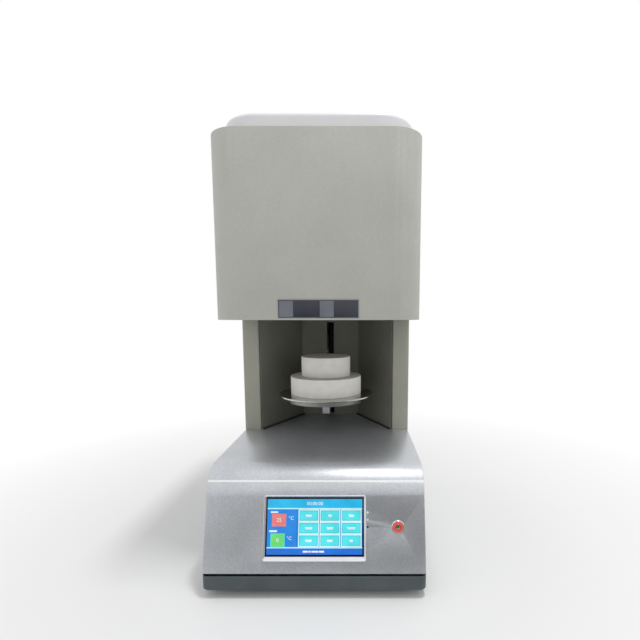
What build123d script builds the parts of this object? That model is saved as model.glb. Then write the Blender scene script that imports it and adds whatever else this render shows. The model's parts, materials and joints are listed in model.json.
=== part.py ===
from build123d import *
from math import cos, radians, sin, tan
import os

os.makedirs("parts", exist_ok=True)

# Dental sintering furnace with a lift that raises its hearth into the chamber from below.
# Millimetres. X runs to the right, Y to the rear, Z up. The origin is on the bench, under
# the middle of the furnace.

# Driving dimensions of the outer body
body_width = 370.0
front_y = -270.0
rear_y = 270.0
base_top = 202.0
bay_height = 252.0
housing_height = 316.0
cap_height = 42.0
sheet = 1.5
seam = 0.3
fit_gap = 0.05
hidden_sides = 24
small_sides = 12

# Feet, plinth and floor pan
foot_height = 14.0
foot_radius = 17.0
foot_side = 45.0
foot_inset_y = 62.0
plinth_lift = 12.0
plinth_height = 25.5
plinth_wall = 2.0
plinth_corner = 10.0
plinth_bottom_chamfer = 3.0
plinth_flange = 24.0
plinth_step = 4.0
shadow_gap = 2.5
pan_wall_height = 44.0
pan_front_gap = 12.0
pan_slots = 8
pan_slot_pitch = 11.0
pan_slot_width = 4.0
pan_slot_length = 70.0

# Side profile of the base: flat top, rounded nose, light strip, bend, sloping control panel
nose_radius = 48.0
nose_turn = 53.3
trim_height = 4.0
bend_radius = 60.0
panel_turn = 74.5
panel_sheet = 2.0
base_edge_chamfer = 1.2
profile_overrun = 20.0
top_window_margin = 8.0

# Touch display, measured down the sloping panel from where its flat part starts
display_x = 0.0
display_drop = -1.2
display_width = 172.0
display_height = 105.5
display_depth = 3.0
display_corner = 4.0
window_width = 164.0
window_height = 95.5
window_drop = 1.7
glass_thickness = 1.8
module_width = 155.0
module_height = 86.0
module_depth = 26.0
module_chamfer = 3.0
display_edge_chamfer = 1.2

# Indicator lamps and power button on the panel
lamp_gap = 2.4
lamp_drops = (26.8, 38.5, 50.5)
lamp_radius = 1.5
lamp_proud = 0.8
button_side = 46.0
button_drop = 50.3
button_head_radius = 11.0
button_barrel_radius = 9.4
button_head_height = 2.4
button_barrel_length = 30.0
button_sides = 24
button_ring_radius = 8.4
button_ring_seat = 2.0
button_ring_proud = 0.2
button_cap_radius = 4.8
button_cap_proud = 0.6
button_stem = 6.0
button_travel = 3.0
button_end_room = 2.0

# Column behind the loading bay
column_front_y = 23.0
leg_width = 36.2
leg_return = 12.0
recess_rear_gap = 15.5
recess_back_half = 72.7
recess_gap = 2.5
slot_width = 17.5
slot_run_out = 6.7
upright_size = 30.0
upright_wall = 2.0
upright_side = 20.0
upright_rear = 45.0

# Lift
lift_rear = 52.0
travel_down = 30.0
rod_radius = 8.0
rod_x = 45.0
screw_radius = 8.0
journal_radius = 5.0
bracket_thickness = 12.0
bracket_depth = 54.0
bearing_size = 26.0
bearing_width = 8.0
bearing_shoulder = 1.0
bushing_size = 28.0
nut_radius = 14.0
nut_flange_radius = 20.0
nut_sides = 6
nut_flange = 6.0
carriage_half = 68.0
carriage_height = 36.0
carriage_depth = 56.0
arm_width = 15.5
arm_height = 34.0
arm_pad_size = 48.0
arm_pad_thickness = 8.0
arm_foot_width = 60.0
arm_foot_thickness = 8.0
motor_size = 57.0
motor_length = 78.0
motor_pilot_radius = 19.0
motor_pilot_height = 1.6
motor_cap = 12.0
motor_cap_step = 1.5
motor_corner_chamfer = 5.0
motor_shaft_radius = 4.0
motor_drop = 42.5
motor_bracket_wall = 4.0
motor_side_gap = 1.0
coupling_radius = 12.5
coupling_length = 32.0
coupling_drop = 4.0

# Table plate and the two hearth discs on it
table_y = 21.0
table_rest_height = 87.0
table_thickness = 13.0
table_stop_gap = 2.0
table_radius = 103.8
table_edge = 2.0
table_foot_inset = 8.0
hearth_lower_radius = 77.8
hearth_lower_height = 39.5
hearth_upper_radius = 54.0
hearth_upper_height = 43.0

# Housing and firing chamber
housing_front_y = -182.4
housing_corner = 56.0
floor_plate = 2.0
floor_hole_radius = 84.0
throat_clearance = 1.7
casing_side = 35.0
casing_gap = 0.3
casing_wall = 1.2
ring_height = 40.0
roof_height = 70.0
wiring_room = 50.5
top_lip = 2.0
cap_side = 11.0
cap_front_inset = 41.4
cap_rear_inset = 35.0
cap_corner = 70.0
cap_chamfer = 5.0
cap_wall = 2.0
vent_width = 104.0
vent_depth = 12.0
vent_pitch_x = 130.0
vent_pitch_y = 36.0
cap_slot_width = 70.0
cap_slot_height = 4.0
cap_slot_pitch_x = 90.0
cap_slot_pitch_z = 10.0

# Heating elements and thermocouple
element_ring_radius = 70.0
element_half_width = 12.5
element_hot_radius = 1.5
element_terminal_radius = 3.0
element_floor_gap = 14.0
element_sides = 6
element_bend_steps = 6
element_count = 4
element_start = 45.0
element_rise = 20.0
element_hole_gap = 0.4
holder_margin = 6.0
holder_height = 10.0
strap_height = 4.0
strap_width = 12.0
thermocouple_radius = 4.0
thermocouple_reach = 26.0
thermocouple_head_size = 26.0
thermocouple_head_height = 24.0

# Trim plate on the housing's front
trim_plate_x = 4.0
trim_plate_width = 140.0
trim_plate_height = 32.5
trim_plate_lift = 2.9
trim_plate_thickness = 0.8

# Rear covers and what is mounted in them
rear_inset = 8.0
cover_flange = 12.0
louvre_width = 110.0
louvre_height = 5.0
louvre_pitch_x = 140.0
louvre_pitch_z = 22.0
base_louvre_side = 100.0
base_louvre_z = 70.0
base_louvre_width = 104.0
screw_head_sides = 6
screw_head_radius = 4.0
screw_head_height = 2.0
screw_edge = 14.0
fan_side_gap = 4.0
fan_z = 118.0
fan_size = 80.0
fan_depth = 25.0
fan_bore_radius = 38.0
fan_hub_radius = 18.0
fan_tip_gap = 1.5
fan_blades = 7
fan_end_gap = 1.0
blade_sunk = 2.0
fan_strut_depth = 3.0
fan_strut_width = 5.0
fan_pin_radius = 2.5
fan_pin_length = 12.0
blade_thickness = 1.6
blade_chord = 24.0
blade_pitch = 38.0
guard_wire = 2.0
guard_bars = 5
guard_pitch = 16.0
guard_lap = 5.0
inlet_side = 73.0
inlet_z = 112.0
inlet_flange_width = 60.0
inlet_flange_height = 33.0
inlet_flange_thickness = 2.5
inlet_body_width = 44.0
inlet_body_height = 28.0
inlet_body_depth = 32.0
socket_width = 34.0
socket_height = 23.0
socket_depth = 24.0
pin_length = 15.0
pin_width = 8.0
pin_thickness = 2.0
pin_pitch = 14.0
pin_offset = 4.0
switch_gap = 6.0
switch_flange_width = 34.0
switch_flange_height = 26.0
switch_flange_thickness = 2.0
switch_body_width = 30.0
switch_body_height = 22.0
switch_body_depth = 24.0
rocker_width = 25.0
rocker_height = 17.0
rocker_tilt = 8.0
rocker_gap = 0.5
rocker_front = 3.5
rocker_back = 7.0
rocker_well = 12.0
rocker_pin_radius = 1.5
rocker_pin_length = 1.5
rocker_pin_end_gap = 0.2
rocker_dish = 0.8
rocker_pivot_depth = 1.0

# Electrical parts inside the base
transformer_side = 87.0
transformer_y = 70.0
transformer_core_width = 120.0
transformer_core_height = 100.0
transformer_stack = 60.0
transformer_coil_width = 80.0
transformer_coil_height = 58.0
transformer_coil_depth = 104.0
transformer_foot_width = 150.0
transformer_foot_thickness = 4.0
supply_side = 97.0
supply_y = -130.0
supply_length = 160.0
supply_width = 98.0
supply_height = 40.0
supply_ledge = 18.0
sink_side = 89.0
sink_y = 60.0
sink_width = 110.0
sink_length = 120.0
sink_plate = 6.0
fin_height = 34.0
fin_thickness = 2.0
fin_count = 11
relay_width = 45.0
relay_length = 58.0
relay_height = 30.0
relay_chamfer = 2.0
board_side = 90.0
board_y = -120.0
board_width = 140.0
board_length = 96.0
board_thickness = 1.6
board_lift = 8.0
board_margin = 7.0
spacer_radius = 3.2
terminal_depth = 10.0
terminal_height = 15.0
small_relay_width = 16.0
small_relay_length = 20.0
small_relay_pitch = 24.0
capacitor_radius = 9.0
capacitor_height = 28.0

# Places worked out from the sizes above
half_width = body_width / 2
housing_bottom = base_top + bay_height
housing_top_z = housing_bottom + housing_height
plinth_top = plinth_lift + plinth_height
panel_foot = plinth_top + shadow_gap
pan_floor = foot_height + sheet
rear_face_y = rear_y - rear_inset
cover_inner_y = rear_face_y - sheet
inner_half = half_width - sheet

# Places that keep their distance from the sides and the rear
foot_x = half_width - foot_side
upright_x = half_width - upright_side
upright_y = rear_y - upright_rear
lift_y = rear_y - lift_rear
transformer_x = transformer_side - half_width
board_x = board_side - half_width
supply_x = half_width - supply_side
sink_x = half_width - sink_side
button_x = half_width - button_side
lamp_x = display_x + display_width / 2 + lamp_gap
casing_half = half_width - casing_side
insulation_half = casing_half - casing_wall - casing_gap
cap_half = half_width - cap_side
cap_front_y = housing_front_y + cap_front_inset
cap_rear_y = rear_y - cap_rear_inset
base_louvre_x = half_width - base_louvre_side
fan_x = fan_size / 2 + fan_side_gap - (upright_x - upright_size / 2)
inlet_x = half_width - inlet_side
switch_z = inlet_z + (inlet_flange_height + switch_flange_height) / 2 + switch_gap

# Run and drop of each stretch of the base's front profile
nose_run = nose_radius * sin(radians(nose_turn))
nose_drop = nose_radius * (1 - cos(radians(nose_turn)))
trim_run = trim_height * cos(radians(nose_turn))
trim_drop = trim_height * sin(radians(nose_turn))
bend_run = bend_radius * (sin(radians(panel_turn)) - sin(radians(nose_turn)))
bend_drop = bend_radius * (cos(radians(nose_turn)) - cos(radians(panel_turn)))
trim_top_z = base_top - nose_drop
trim_bottom_z = trim_top_z - trim_drop
face_top_z = trim_bottom_z - bend_drop
face_run = (face_top_z - panel_foot) / tan(radians(panel_turn))
face_top_y = front_y + plinth_step + face_run
nose_start_y = face_top_y + bend_run + trim_run + nose_run

panel_plane = Plane(
    origin=(0, face_top_y, face_top_z),
    x_dir=(1, 0, 0),
    z_dir=(0, -sin(radians(panel_turn)), cos(radians(panel_turn))),
)
panel_axis = Axis(panel_plane.origin, panel_plane.z_dir)
window_mid = window_drop + window_height / 2
display_mid = display_drop + display_height / 2
button_plane = Plane(
    origin=panel_plane.from_local_coords((button_x, -button_drop, 0)),
    x_dir=panel_plane.x_dir,
    z_dir=panel_plane.z_dir,
)

table_top = base_top + table_rest_height
carriage_top = table_top - table_thickness
travel_up = housing_bottom - table_top - table_stop_gap
lower_bracket_top = base_top - sheet
lower_bracket_bottom = lower_bracket_top - bracket_thickness
upper_bracket_bottom = housing_bottom - bracket_thickness
carriage_bottom = carriage_top - carriage_height
carriage_front_y = lift_y - carriage_depth / 2
recess_back_y = carriage_front_y - recess_rear_gap
arm_bottom = carriage_top - arm_height
motor_top = lower_bracket_bottom - motor_drop
bracket_half = upright_x - upright_size / 2 - seam

ring_bottom = housing_bottom + floor_plate
chamber_bottom = ring_bottom + ring_height
top_plate_z = housing_top_z - top_lip
roof_top = top_plate_z - sheet - wiring_room
roof_bottom = roof_top - roof_height
chamber_height = roof_bottom - chamber_bottom
element_reach = chamber_height - element_floor_gap
throat_radius = hearth_lower_radius + throat_clearance
holder_top = roof_top + holder_height

table_axis = Axis((0, table_y, 0), (0, 0, 1))


def base_profile(inset, overrun):
    """Side outline of the base, set in by a wall and run on past its open foot and rear."""
    with BuildSketch(Plane.YZ) as profile:
        with BuildLine():
            top = Line((rear_y + overrun, base_top), (nose_start_y, base_top))
            nose = JernArc(top @ 1, top % 1, nose_radius, nose_turn)
            strip = Line(nose @ 1, (nose @ 1) + (nose % 1) * trim_height)
            bend = JernArc(strip @ 1, strip % 1, bend_radius, panel_turn - nose_turn)
            slope = (face_top_z - panel_foot + overrun) / sin(radians(panel_turn))
            face = Line(bend @ 1, (bend @ 1) + (bend % 1) * slope)
            Polyline(face @ 1, (rear_y + overrun, panel_foot - overrun), top @ 0)
        make_face()
        if inset > 0:
            offset(amount=-inset, kind=Kind.INTERSECTION)
    return profile.sketch


def folded_sheet(points, fold_radius, side):
    """Plan outline of a steel sheet folded along the given points."""
    with BuildSketch() as plan:
        with BuildLine():
            FilletPolyline(*points, radius=fold_radius)
            offset(amount=sheet, side=side)
        make_face()
    return plan.sketch


def rear_cover(bottom, top, columns, rows):
    """Louvred cover with its two sides folded forward, set between the side skins."""
    half = inner_half - seam
    with BuildPart() as cover:
        points = (
            (-half, rear_face_y - cover_flange),
            (-half, rear_face_y),
            (half, rear_face_y),
            (half, rear_face_y - cover_flange),
        )
        with Locations((0, 0, bottom + seam)):
            add(folded_sheet(points, 2 * sheet, Side.RIGHT))
        extrude(amount=top - bottom - 2 * seam)
        with BuildSketch(Plane.XZ.offset(-rear_y)):
            with Locations((0, (bottom + top) / 2)):
                with GridLocations(louvre_pitch_x, louvre_pitch_z, columns, rows):
                    Rectangle(louvre_width, louvre_height)
        extrude(amount=2 * rear_inset, mode=Mode.SUBTRACT)
    return cover


# Rubber feet under the floor pan
with BuildPart() as feet:
    with BuildSketch():
        with Locations((0, (front_y + rear_y) / 2)):
            with GridLocations(2 * foot_x, rear_y - front_y - 2 * foot_inset_y, 2, 2):
                RegularPolygon(foot_radius, hidden_sides)
    extrude(amount=foot_height)

# Dark plinth: a skirt with a flange turned in under the floor pan
with BuildPart() as plinth:
    depth = rear_y - front_y
    mid_y = (front_y + rear_y) / 2
    with BuildSketch(Plane.XY.offset(plinth_lift)):
        with Locations((0, mid_y)):
            RectangleRounded(body_width, depth, plinth_corner)
    extrude(amount=plinth_height)
    chamfer(plinth.faces().sort_by(Axis.Z)[0].edges(), plinth_bottom_chamfer)
    with BuildSketch(Plane.XY.offset(plinth_lift + plinth_wall)):
        with Locations((0, mid_y)):
            RectangleRounded(
                body_width - 2 * plinth_wall, depth - 2 * plinth_wall, plinth_corner - plinth_wall
            )
    extrude(amount=plinth_height, mode=Mode.SUBTRACT)
    with BuildSketch(Plane.XY.offset(plinth_lift)):
        with Locations((0, mid_y)):
            Rectangle(body_width - 2 * plinth_flange, depth - 2 * plinth_flange)
    extrude(amount=plinth_wall, mode=Mode.SUBTRACT)

# Floor pan that carries the electrical parts, with air slots under the transformer
with BuildPart() as base_pan:
    pan_front = front_y + plinth_wall + pan_front_gap
    pan_rear = cover_inner_y - seam
    pan_half = half_width - plinth_wall - seam
    with BuildSketch(Plane.XY.offset(foot_height)):
        with Locations((0, (pan_front + pan_rear) / 2)):
            Rectangle(2 * pan_half, pan_rear - pan_front)
    extrude(amount=pan_wall_height)
    offset(amount=-sheet, openings=base_pan.faces().sort_by(Axis.Z)[-1], kind=Kind.INTERSECTION)
    with BuildSketch(Plane.XY.offset(foot_height)):
        with Locations((transformer_x, transformer_y)):
            with GridLocations(pan_slot_pitch, 0, pan_slots, 1):
                Rectangle(pan_slot_width, pan_slot_length)
    extrude(amount=sheet, mode=Mode.SUBTRACT)

# Solid form of the base, from which its skins are cut
with BuildPart() as base_form:
    extrude(base_profile(0, 0), amount=half_width, both=True)
    side_edges = base_form.faces().filter_by(Axis.X).edges()
    rims = side_edges.filter_by(
        lambda e: e.center().Z > panel_foot + sheet and e.center().Y < rear_y - sheet
    )
    chamfer(rims, base_edge_chamfer)

# Front skin of the base, below the nose: the light strip and the control panel
with BuildPart() as front_skin:
    add(base_form.part)
    extrude(
        base_profile(panel_sheet, profile_overrun), amount=body_width, both=True, mode=Mode.SUBTRACT
    )
    split(bisect_by=Plane.XY.offset(trim_top_z), keep=Keep.BOTTOM)

with BuildPart() as trim_strip:
    add(front_skin.part)
    split(bisect_by=Plane.XY.offset(trim_bottom_z), keep=Keep.TOP)

with BuildPart() as front_panel:
    add(front_skin.part)
    split(bisect_by=Plane.XY.offset(trim_bottom_z), keep=Keep.BOTTOM)
    with BuildSketch(panel_plane):
        with Locations((display_x, -window_mid)):
            Rectangle(module_width + 2 * seam, module_height + 2 * seam)
        with Locations((button_x, -button_drop)):
            RegularPolygon(button_barrel_radius + seam, small_sides)
        with Locations(*[(lamp_x, -drop) for drop in lamp_drops]):
            RegularPolygon(lamp_radius + fit_gap, small_sides)
    extrude(amount=2 * panel_sheet, both=True, mode=Mode.SUBTRACT)

# Silver cover of the base: top, rounded nose and both sides in one folded piece
with BuildPart() as base_cover:
    add(base_form.part)
    extrude(
        base_profile(sheet, profile_overrun), amount=inner_half, both=True, mode=Mode.SUBTRACT
    )
    add(front_skin.part, mode=Mode.SUBTRACT)
    with BuildSketch(Plane.XY.offset(base_top)):
        with Locations((0, lift_y)):
            Rectangle(
                2 * (rod_x + rod_radius + top_window_margin), bracket_depth - 2 * top_window_margin
            )
        with Locations((-upright_x, upright_y), (upright_x, upright_y)):
            Rectangle(upright_size + 2 * seam, upright_size + 2 * seam)
    extrude(amount=-2 * sheet, mode=Mode.SUBTRACT)

# Rear panel of the base, with its fan opening, power inlet and switch openings
with BuildPart() as base_rear_panel:
    with BuildSketch(Plane.XZ.offset(-rear_face_y)):
        with Locations((0, (panel_foot + base_top - sheet) / 2)):
            Rectangle(2 * (inner_half - seam), base_top - sheet - panel_foot - 2 * seam)
        with Locations((fan_x, fan_z)):
            Circle(fan_bore_radius, mode=Mode.SUBTRACT)
        with Locations((inlet_x, inlet_z)):
            Rectangle(
                inlet_body_width + 2 * seam, inlet_body_height + 2 * seam, mode=Mode.SUBTRACT
            )
        with Locations((inlet_x, switch_z)):
            Rectangle(
                switch_body_width + 2 * seam, switch_body_height + 2 * seam, mode=Mode.SUBTRACT
            )
        with Locations((base_louvre_x, base_louvre_z)):
            with GridLocations(0, louvre_pitch_z, 1, 3):
                Rectangle(base_louvre_width, louvre_height, mode=Mode.SUBTRACT)
    extrude(amount=sheet)

# Raised frame around the touch display
with BuildPart() as display_frame:
    with BuildSketch(panel_plane):
        with Locations((display_x, -display_mid)):
            RectangleRounded(display_width, display_height, display_corner)
    extrude(amount=display_depth)
    chamfer(display_frame.faces().sort_by(panel_axis)[-1].edges(), display_edge_chamfer)
    with BuildSketch(panel_plane):
        with Locations((display_x, -window_mid)):
            Rectangle(window_width, window_height)
    extrude(amount=display_depth, mode=Mode.SUBTRACT)

with BuildPart() as display_glass:
    with BuildSketch(panel_plane):
        with Locations((display_x, -window_mid)):
            Rectangle(window_width - 2 * seam, window_height - 2 * seam)
    extrude(amount=glass_thickness)

with BuildPart() as display_module:
    with BuildSketch(panel_plane):
        with Locations((display_x, -window_mid)):
            Rectangle(module_width, module_height)
    extrude(amount=-module_depth)
    chamfer(display_module.faces().sort_by(panel_axis)[0].edges(), module_chamfer)

# Three small indicator lamps beside the display
with BuildPart() as indicator_lamps:
    with BuildSketch(panel_plane.offset(-2 * panel_sheet)):
        with Locations(*[(lamp_x, -drop) for drop in lamp_drops]):
            RegularPolygon(lamp_radius, small_sides)
    extrude(amount=2 * panel_sheet + lamp_proud)

# Metal push button: bezel and barrel, lit ring and moving cap
cap_room = button_stem + button_travel + button_end_room
with BuildPart() as button_housing:
    with BuildSketch(button_plane):
        RegularPolygon(button_head_radius, button_sides)
    extrude(amount=button_head_height)
    with BuildSketch(button_plane):
        RegularPolygon(button_barrel_radius, small_sides)
    extrude(amount=-button_barrel_length)
    with BuildSketch(button_plane.offset(button_head_height)):
        RegularPolygon(button_ring_radius, button_sides)
    extrude(amount=-(button_head_height + button_ring_seat), mode=Mode.SUBTRACT)
    with BuildSketch(button_plane.offset(-button_ring_seat)):
        RegularPolygon(button_cap_radius + seam, small_sides, major_radius=False)
    extrude(amount=-cap_room, mode=Mode.SUBTRACT)

with BuildPart() as button_ring:
    with BuildSketch(button_plane.offset(-button_ring_seat)):
        RegularPolygon(button_ring_radius - fit_gap, button_sides)
        RegularPolygon(button_cap_radius + seam, button_sides, mode=Mode.SUBTRACT)
    extrude(amount=button_ring_seat + button_head_height + button_ring_proud)

with BuildPart() as button_cap:
    with BuildSketch(button_plane.offset(-button_ring_seat - button_stem)):
        RegularPolygon(button_cap_radius, button_sides)
    extrude(amount=button_ring_seat + button_stem + button_head_height + button_cap_proud)

# Transformer: laminated core on its foot, with the coil wound round the core's middle leg
with BuildPart() as transformer:
    with BuildSketch(Plane.XY.offset(pan_floor)):
        with Locations((transformer_x, transformer_y)):
            Rectangle(transformer_foot_width, transformer_stack)
    extrude(amount=transformer_foot_thickness)
    with BuildSketch(Plane.XY.offset(pan_floor)):
        with Locations((transformer_x, transformer_y)):
            Rectangle(transformer_core_width, transformer_stack)
    extrude(amount=transformer_core_height)
    with BuildSketch(
        Plane.XY.offset(pan_floor + (transformer_core_height - transformer_coil_height) / 2)
    ):
        with Locations((transformer_x, transformer_y)):
            Rectangle(transformer_coil_width, transformer_coil_depth)
    extrude(amount=transformer_coil_height)

# Direct current supply with its terminal ledge
with BuildPart() as power_supply:
    with BuildSketch(Plane.XY.offset(pan_floor)):
        with Locations((supply_x, supply_y)):
            Rectangle(supply_width, supply_length)
    extrude(amount=supply_height)
    with BuildSketch(Plane.XY.offset(pan_floor + supply_height)):
        with Locations((supply_x, supply_y - supply_length / 2)):
            Rectangle(supply_width, 2 * supply_ledge)
    extrude(amount=-supply_height / 2, mode=Mode.SUBTRACT)

# Finned heat sink, fins down, and the power relay screwed on top of it
with BuildPart() as heat_sink:
    with BuildSketch(Plane.XZ.offset(-(sink_y + sink_length / 2))):
        with Locations((sink_x, pan_floor + fin_height + sink_plate / 2)):
            Rectangle(sink_width, sink_plate)
        with Locations((sink_x, pan_floor + fin_height / 2)):
            with GridLocations((sink_width - fin_thickness) / (fin_count - 1), 0, fin_count, 1):
                Rectangle(fin_thickness, fin_height)
    extrude(amount=sink_length)

with BuildPart() as power_relay:
    with BuildSketch(Plane.XY.offset(pan_floor + fin_height + sink_plate)):
        with Locations((sink_x, sink_y)):
            Rectangle(relay_width, relay_length)
    extrude(amount=relay_height)
    chamfer(power_relay.faces().sort_by(Axis.Z)[-1].edges(), relay_chamfer)

# Control board on four spacers, with its terminal strip, relays and smoothing capacitor
with BuildPart() as control_board:
    board_z = pan_floor + board_lift
    with BuildSketch(Plane.XY.offset(board_z)):
        with Locations((board_x, board_y)):
            Rectangle(board_width, board_length)
    extrude(amount=board_thickness)
    with BuildSketch(Plane.XY.offset(pan_floor)):
        with Locations((board_x, board_y)):
            with GridLocations(board_width - 2 * board_margin, board_length - 2 * board_margin, 2, 2):
                RegularPolygon(spacer_radius, screw_head_sides)
    extrude(amount=board_lift)
    with BuildSketch(Plane.XY.offset(board_z + board_thickness)):
        with Locations((board_x, board_y - board_length / 2 + board_margin)):
            Rectangle(board_width - 4 * board_margin, terminal_depth)
        with Locations((board_x - small_relay_pitch, board_y + board_margin)):
            with GridLocations(small_relay_pitch, 0, 3, 1):
                Rectangle(small_relay_width, small_relay_length)
    extrude(amount=terminal_height)
    with BuildSketch(Plane.XY.offset(board_z + board_thickness)):
        with Locations((board_x + board_width / 2 - 3 * board_margin, board_y + board_margin)):
            RegularPolygon(capacitor_radius, small_sides)
    extrude(amount=capacitor_height)

# Column: a folded leg and side in one piece on each side, the bay's liner between them
leg_inner = half_width - leg_width
leg_points = (
    (leg_inner, column_front_y + leg_return),
    (leg_inner, column_front_y),
    (half_width, column_front_y),
    (half_width, rear_y),
)
with BuildPart() as column_right:
    with Locations((0, 0, base_top)):
        add(folded_sheet(leg_points, 2 * sheet, Side.LEFT))
    extrude(amount=bay_height)

with BuildPart() as column_left:
    mirror(column_right.part, about=Plane.YZ)

with BuildPart() as recess_liner:
    liner_front = leg_inner - recess_gap
    liner_points = (
        (-liner_front, column_front_y + sheet),
        (-recess_back_half, recess_back_y),
        (recess_back_half, recess_back_y),
        (liner_front, column_front_y + sheet),
    )
    with Locations((0, 0, base_top)):
        add(folded_sheet(liner_points, 2 * sheet, Side.LEFT))
    extrude(amount=bay_height)
    slot_bottom = arm_bottom - travel_down - slot_run_out
    slot_height = carriage_top + travel_up + slot_run_out - slot_bottom
    with BuildSketch(Plane.XZ.offset(-recess_back_y)):
        with Locations((0, slot_bottom + slot_height / 2)):
            Rectangle(slot_width, slot_height)
    extrude(amount=2 * sheet, both=True, mode=Mode.SUBTRACT)

column_rear_cover = rear_cover(base_top, housing_bottom, 2, 4)

# Two square tubes that carry the housing, from the floor pan to the housing's top
with BuildPart() as uprights:
    with BuildSketch(Plane.XY.offset(pan_floor)):
        with Locations((-upright_x, upright_y), (upright_x, upright_y)):
            Rectangle(upright_size, upright_size)
            Rectangle(
                upright_size - 2 * upright_wall,
                upright_size - 2 * upright_wall,
                mode=Mode.SUBTRACT,
            )
    extrude(amount=top_plate_z - sheet - pan_floor)

# Cross plates that hold the guide rods and the screw's bearings
with BuildPart() as lower_bracket:
    with BuildSketch(Plane.XY.offset(lower_bracket_bottom)):
        with Locations((0, lift_y)):
            Rectangle(2 * bracket_half, bracket_depth)
        with Locations((-rod_x, lift_y), (rod_x, lift_y)):
            RegularPolygon(
                rod_radius + fit_gap, hidden_sides, major_radius=False, mode=Mode.SUBTRACT
            )
        with Locations((0, lift_y)):
            Rectangle(2 * screw_radius, 2 * screw_radius, mode=Mode.SUBTRACT)
    extrude(amount=bracket_thickness)
    with BuildSketch(Plane.XY.offset(lower_bracket_top)):
        with Locations((0, lift_y)):
            Rectangle(bearing_size + 2 * fit_gap, bearing_size + 2 * fit_gap)
    extrude(amount=-(bearing_width + bearing_shoulder), mode=Mode.SUBTRACT)

with BuildPart() as upper_bracket:
    with BuildSketch(Plane.XY.offset(upper_bracket_bottom)):
        with Locations((0, lift_y)):
            Rectangle(2 * bracket_half, bracket_depth)
        with Locations((-rod_x, lift_y), (rod_x, lift_y)):
            RegularPolygon(
                rod_radius + fit_gap, hidden_sides, major_radius=False, mode=Mode.SUBTRACT
            )
    extrude(amount=bracket_thickness)
    with BuildSketch(Plane.XY.offset(upper_bracket_bottom)):
        with Locations((0, lift_y)):
            Rectangle(bearing_size + 2 * fit_gap, bearing_size + 2 * fit_gap)
    extrude(amount=bearing_width, mode=Mode.SUBTRACT)

with BuildPart() as guide_rods:
    with BuildSketch(Plane.XY.offset(lower_bracket_bottom)):
        with Locations((-rod_x, lift_y), (rod_x, lift_y)):
            RegularPolygon(rod_radius, hidden_sides)
    extrude(amount=housing_bottom - lower_bracket_bottom)

# Square bearing blocks of the lead screw, one let into each bracket
lower_bearing_z = lower_bracket_top - bearing_width - bearing_shoulder
with BuildPart() as screw_bearings:
    for bearing_z in (lower_bearing_z, upper_bracket_bottom):
        with BuildSketch(Plane.XY.offset(bearing_z)):
            with Locations((0, lift_y)):
                Rectangle(bearing_size, bearing_size)
                RegularPolygon(
                    journal_radius + fit_gap, hidden_sides, major_radius=False, mode=Mode.SUBTRACT
                )
        extrude(amount=bearing_width)

# Lead screw: turned down to a journal at each end
screw_bottom = lower_bearing_z + bearing_width + seam
screw_top = upper_bracket_bottom - seam
coupling_top = lower_bracket_bottom - coupling_drop
coupling_bottom = coupling_top - coupling_length
journal_bottom = coupling_top - coupling_length / 2 + seam
journal_top = upper_bracket_bottom + bearing_width - seam
with BuildPart() as lead_screw:
    with BuildSketch(Plane.XY.offset(screw_bottom)):
        with Locations((0, lift_y)):
            RegularPolygon(screw_radius, hidden_sides)
    extrude(amount=screw_top - screw_bottom)
    with BuildSketch(Plane.XY.offset(journal_bottom)):
        with Locations((0, lift_y)):
            RegularPolygon(journal_radius, hidden_sides)
    extrude(amount=journal_top - journal_bottom)

# Coupling shrunk on the motor's shaft, with the screw's journal in its upper half
with BuildPart() as shaft_coupling:
    with BuildSketch(Plane.XY.offset(coupling_bottom)):
        with Locations((0, lift_y)):
            RegularPolygon(coupling_radius, hidden_sides)
    extrude(amount=coupling_length)
    with BuildSketch(Plane.XY.offset(coupling_top)):
        with Locations((0, lift_y)):
            RegularPolygon(journal_radius + fit_gap, hidden_sides, major_radius=False)
    extrude(amount=-coupling_length / 2, mode=Mode.SUBTRACT)
    with BuildSketch(Plane.XY.offset(motor_top + motor_pilot_height)):
        with Locations((0, lift_y)):
            RegularPolygon(motor_shaft_radius, hidden_sides)
    extrude(amount=coupling_bottom - motor_top - motor_pilot_height)

# Stepper motor hung under the lower bracket in a folded bracket
with BuildPart() as motor_bracket:
    cheek = motor_size / 2 + motor_bracket_wall + motor_side_gap
    with BuildSketch(Plane.XZ.offset(-(lift_y - motor_size / 2))):
        with BuildLine():
            Polyline(
                (-cheek, lower_bracket_bottom),
                (-cheek, motor_top),
                (cheek, motor_top),
                (cheek, lower_bracket_bottom),
            )
            offset(amount=motor_bracket_wall, side=Side.LEFT, kind=Kind.INTERSECTION)
        make_face()
    extrude(amount=-motor_size)
    with BuildSketch(Plane.XY.offset(motor_top)):
        with Locations((0, lift_y)):
            RegularPolygon(motor_pilot_radius + fit_gap, hidden_sides)
    extrude(amount=motor_bracket_wall, mode=Mode.SUBTRACT)

with BuildPart() as lift_motor:
    with BuildSketch(Plane.XY.offset(motor_top - motor_length)) as stator:
        with Locations((0, lift_y)):
            Rectangle(motor_size - 2 * motor_cap_step, motor_size - 2 * motor_cap_step)
        chamfer(stator.vertices(), motor_corner_chamfer)
    extrude(amount=motor_length)
    for cap_z in (motor_top - motor_length, motor_top - motor_cap):
        with BuildSketch(Plane.XY.offset(cap_z)) as end_cap:
            with Locations((0, lift_y)):
                Rectangle(motor_size, motor_size)
            chamfer(end_cap.vertices(), motor_corner_chamfer)
        extrude(amount=motor_cap)
    with BuildSketch(Plane.XY.offset(motor_top)):
        with Locations((0, lift_y)):
            RegularPolygon(motor_pilot_radius, hidden_sides)
    extrude(amount=motor_pilot_height)

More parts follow.
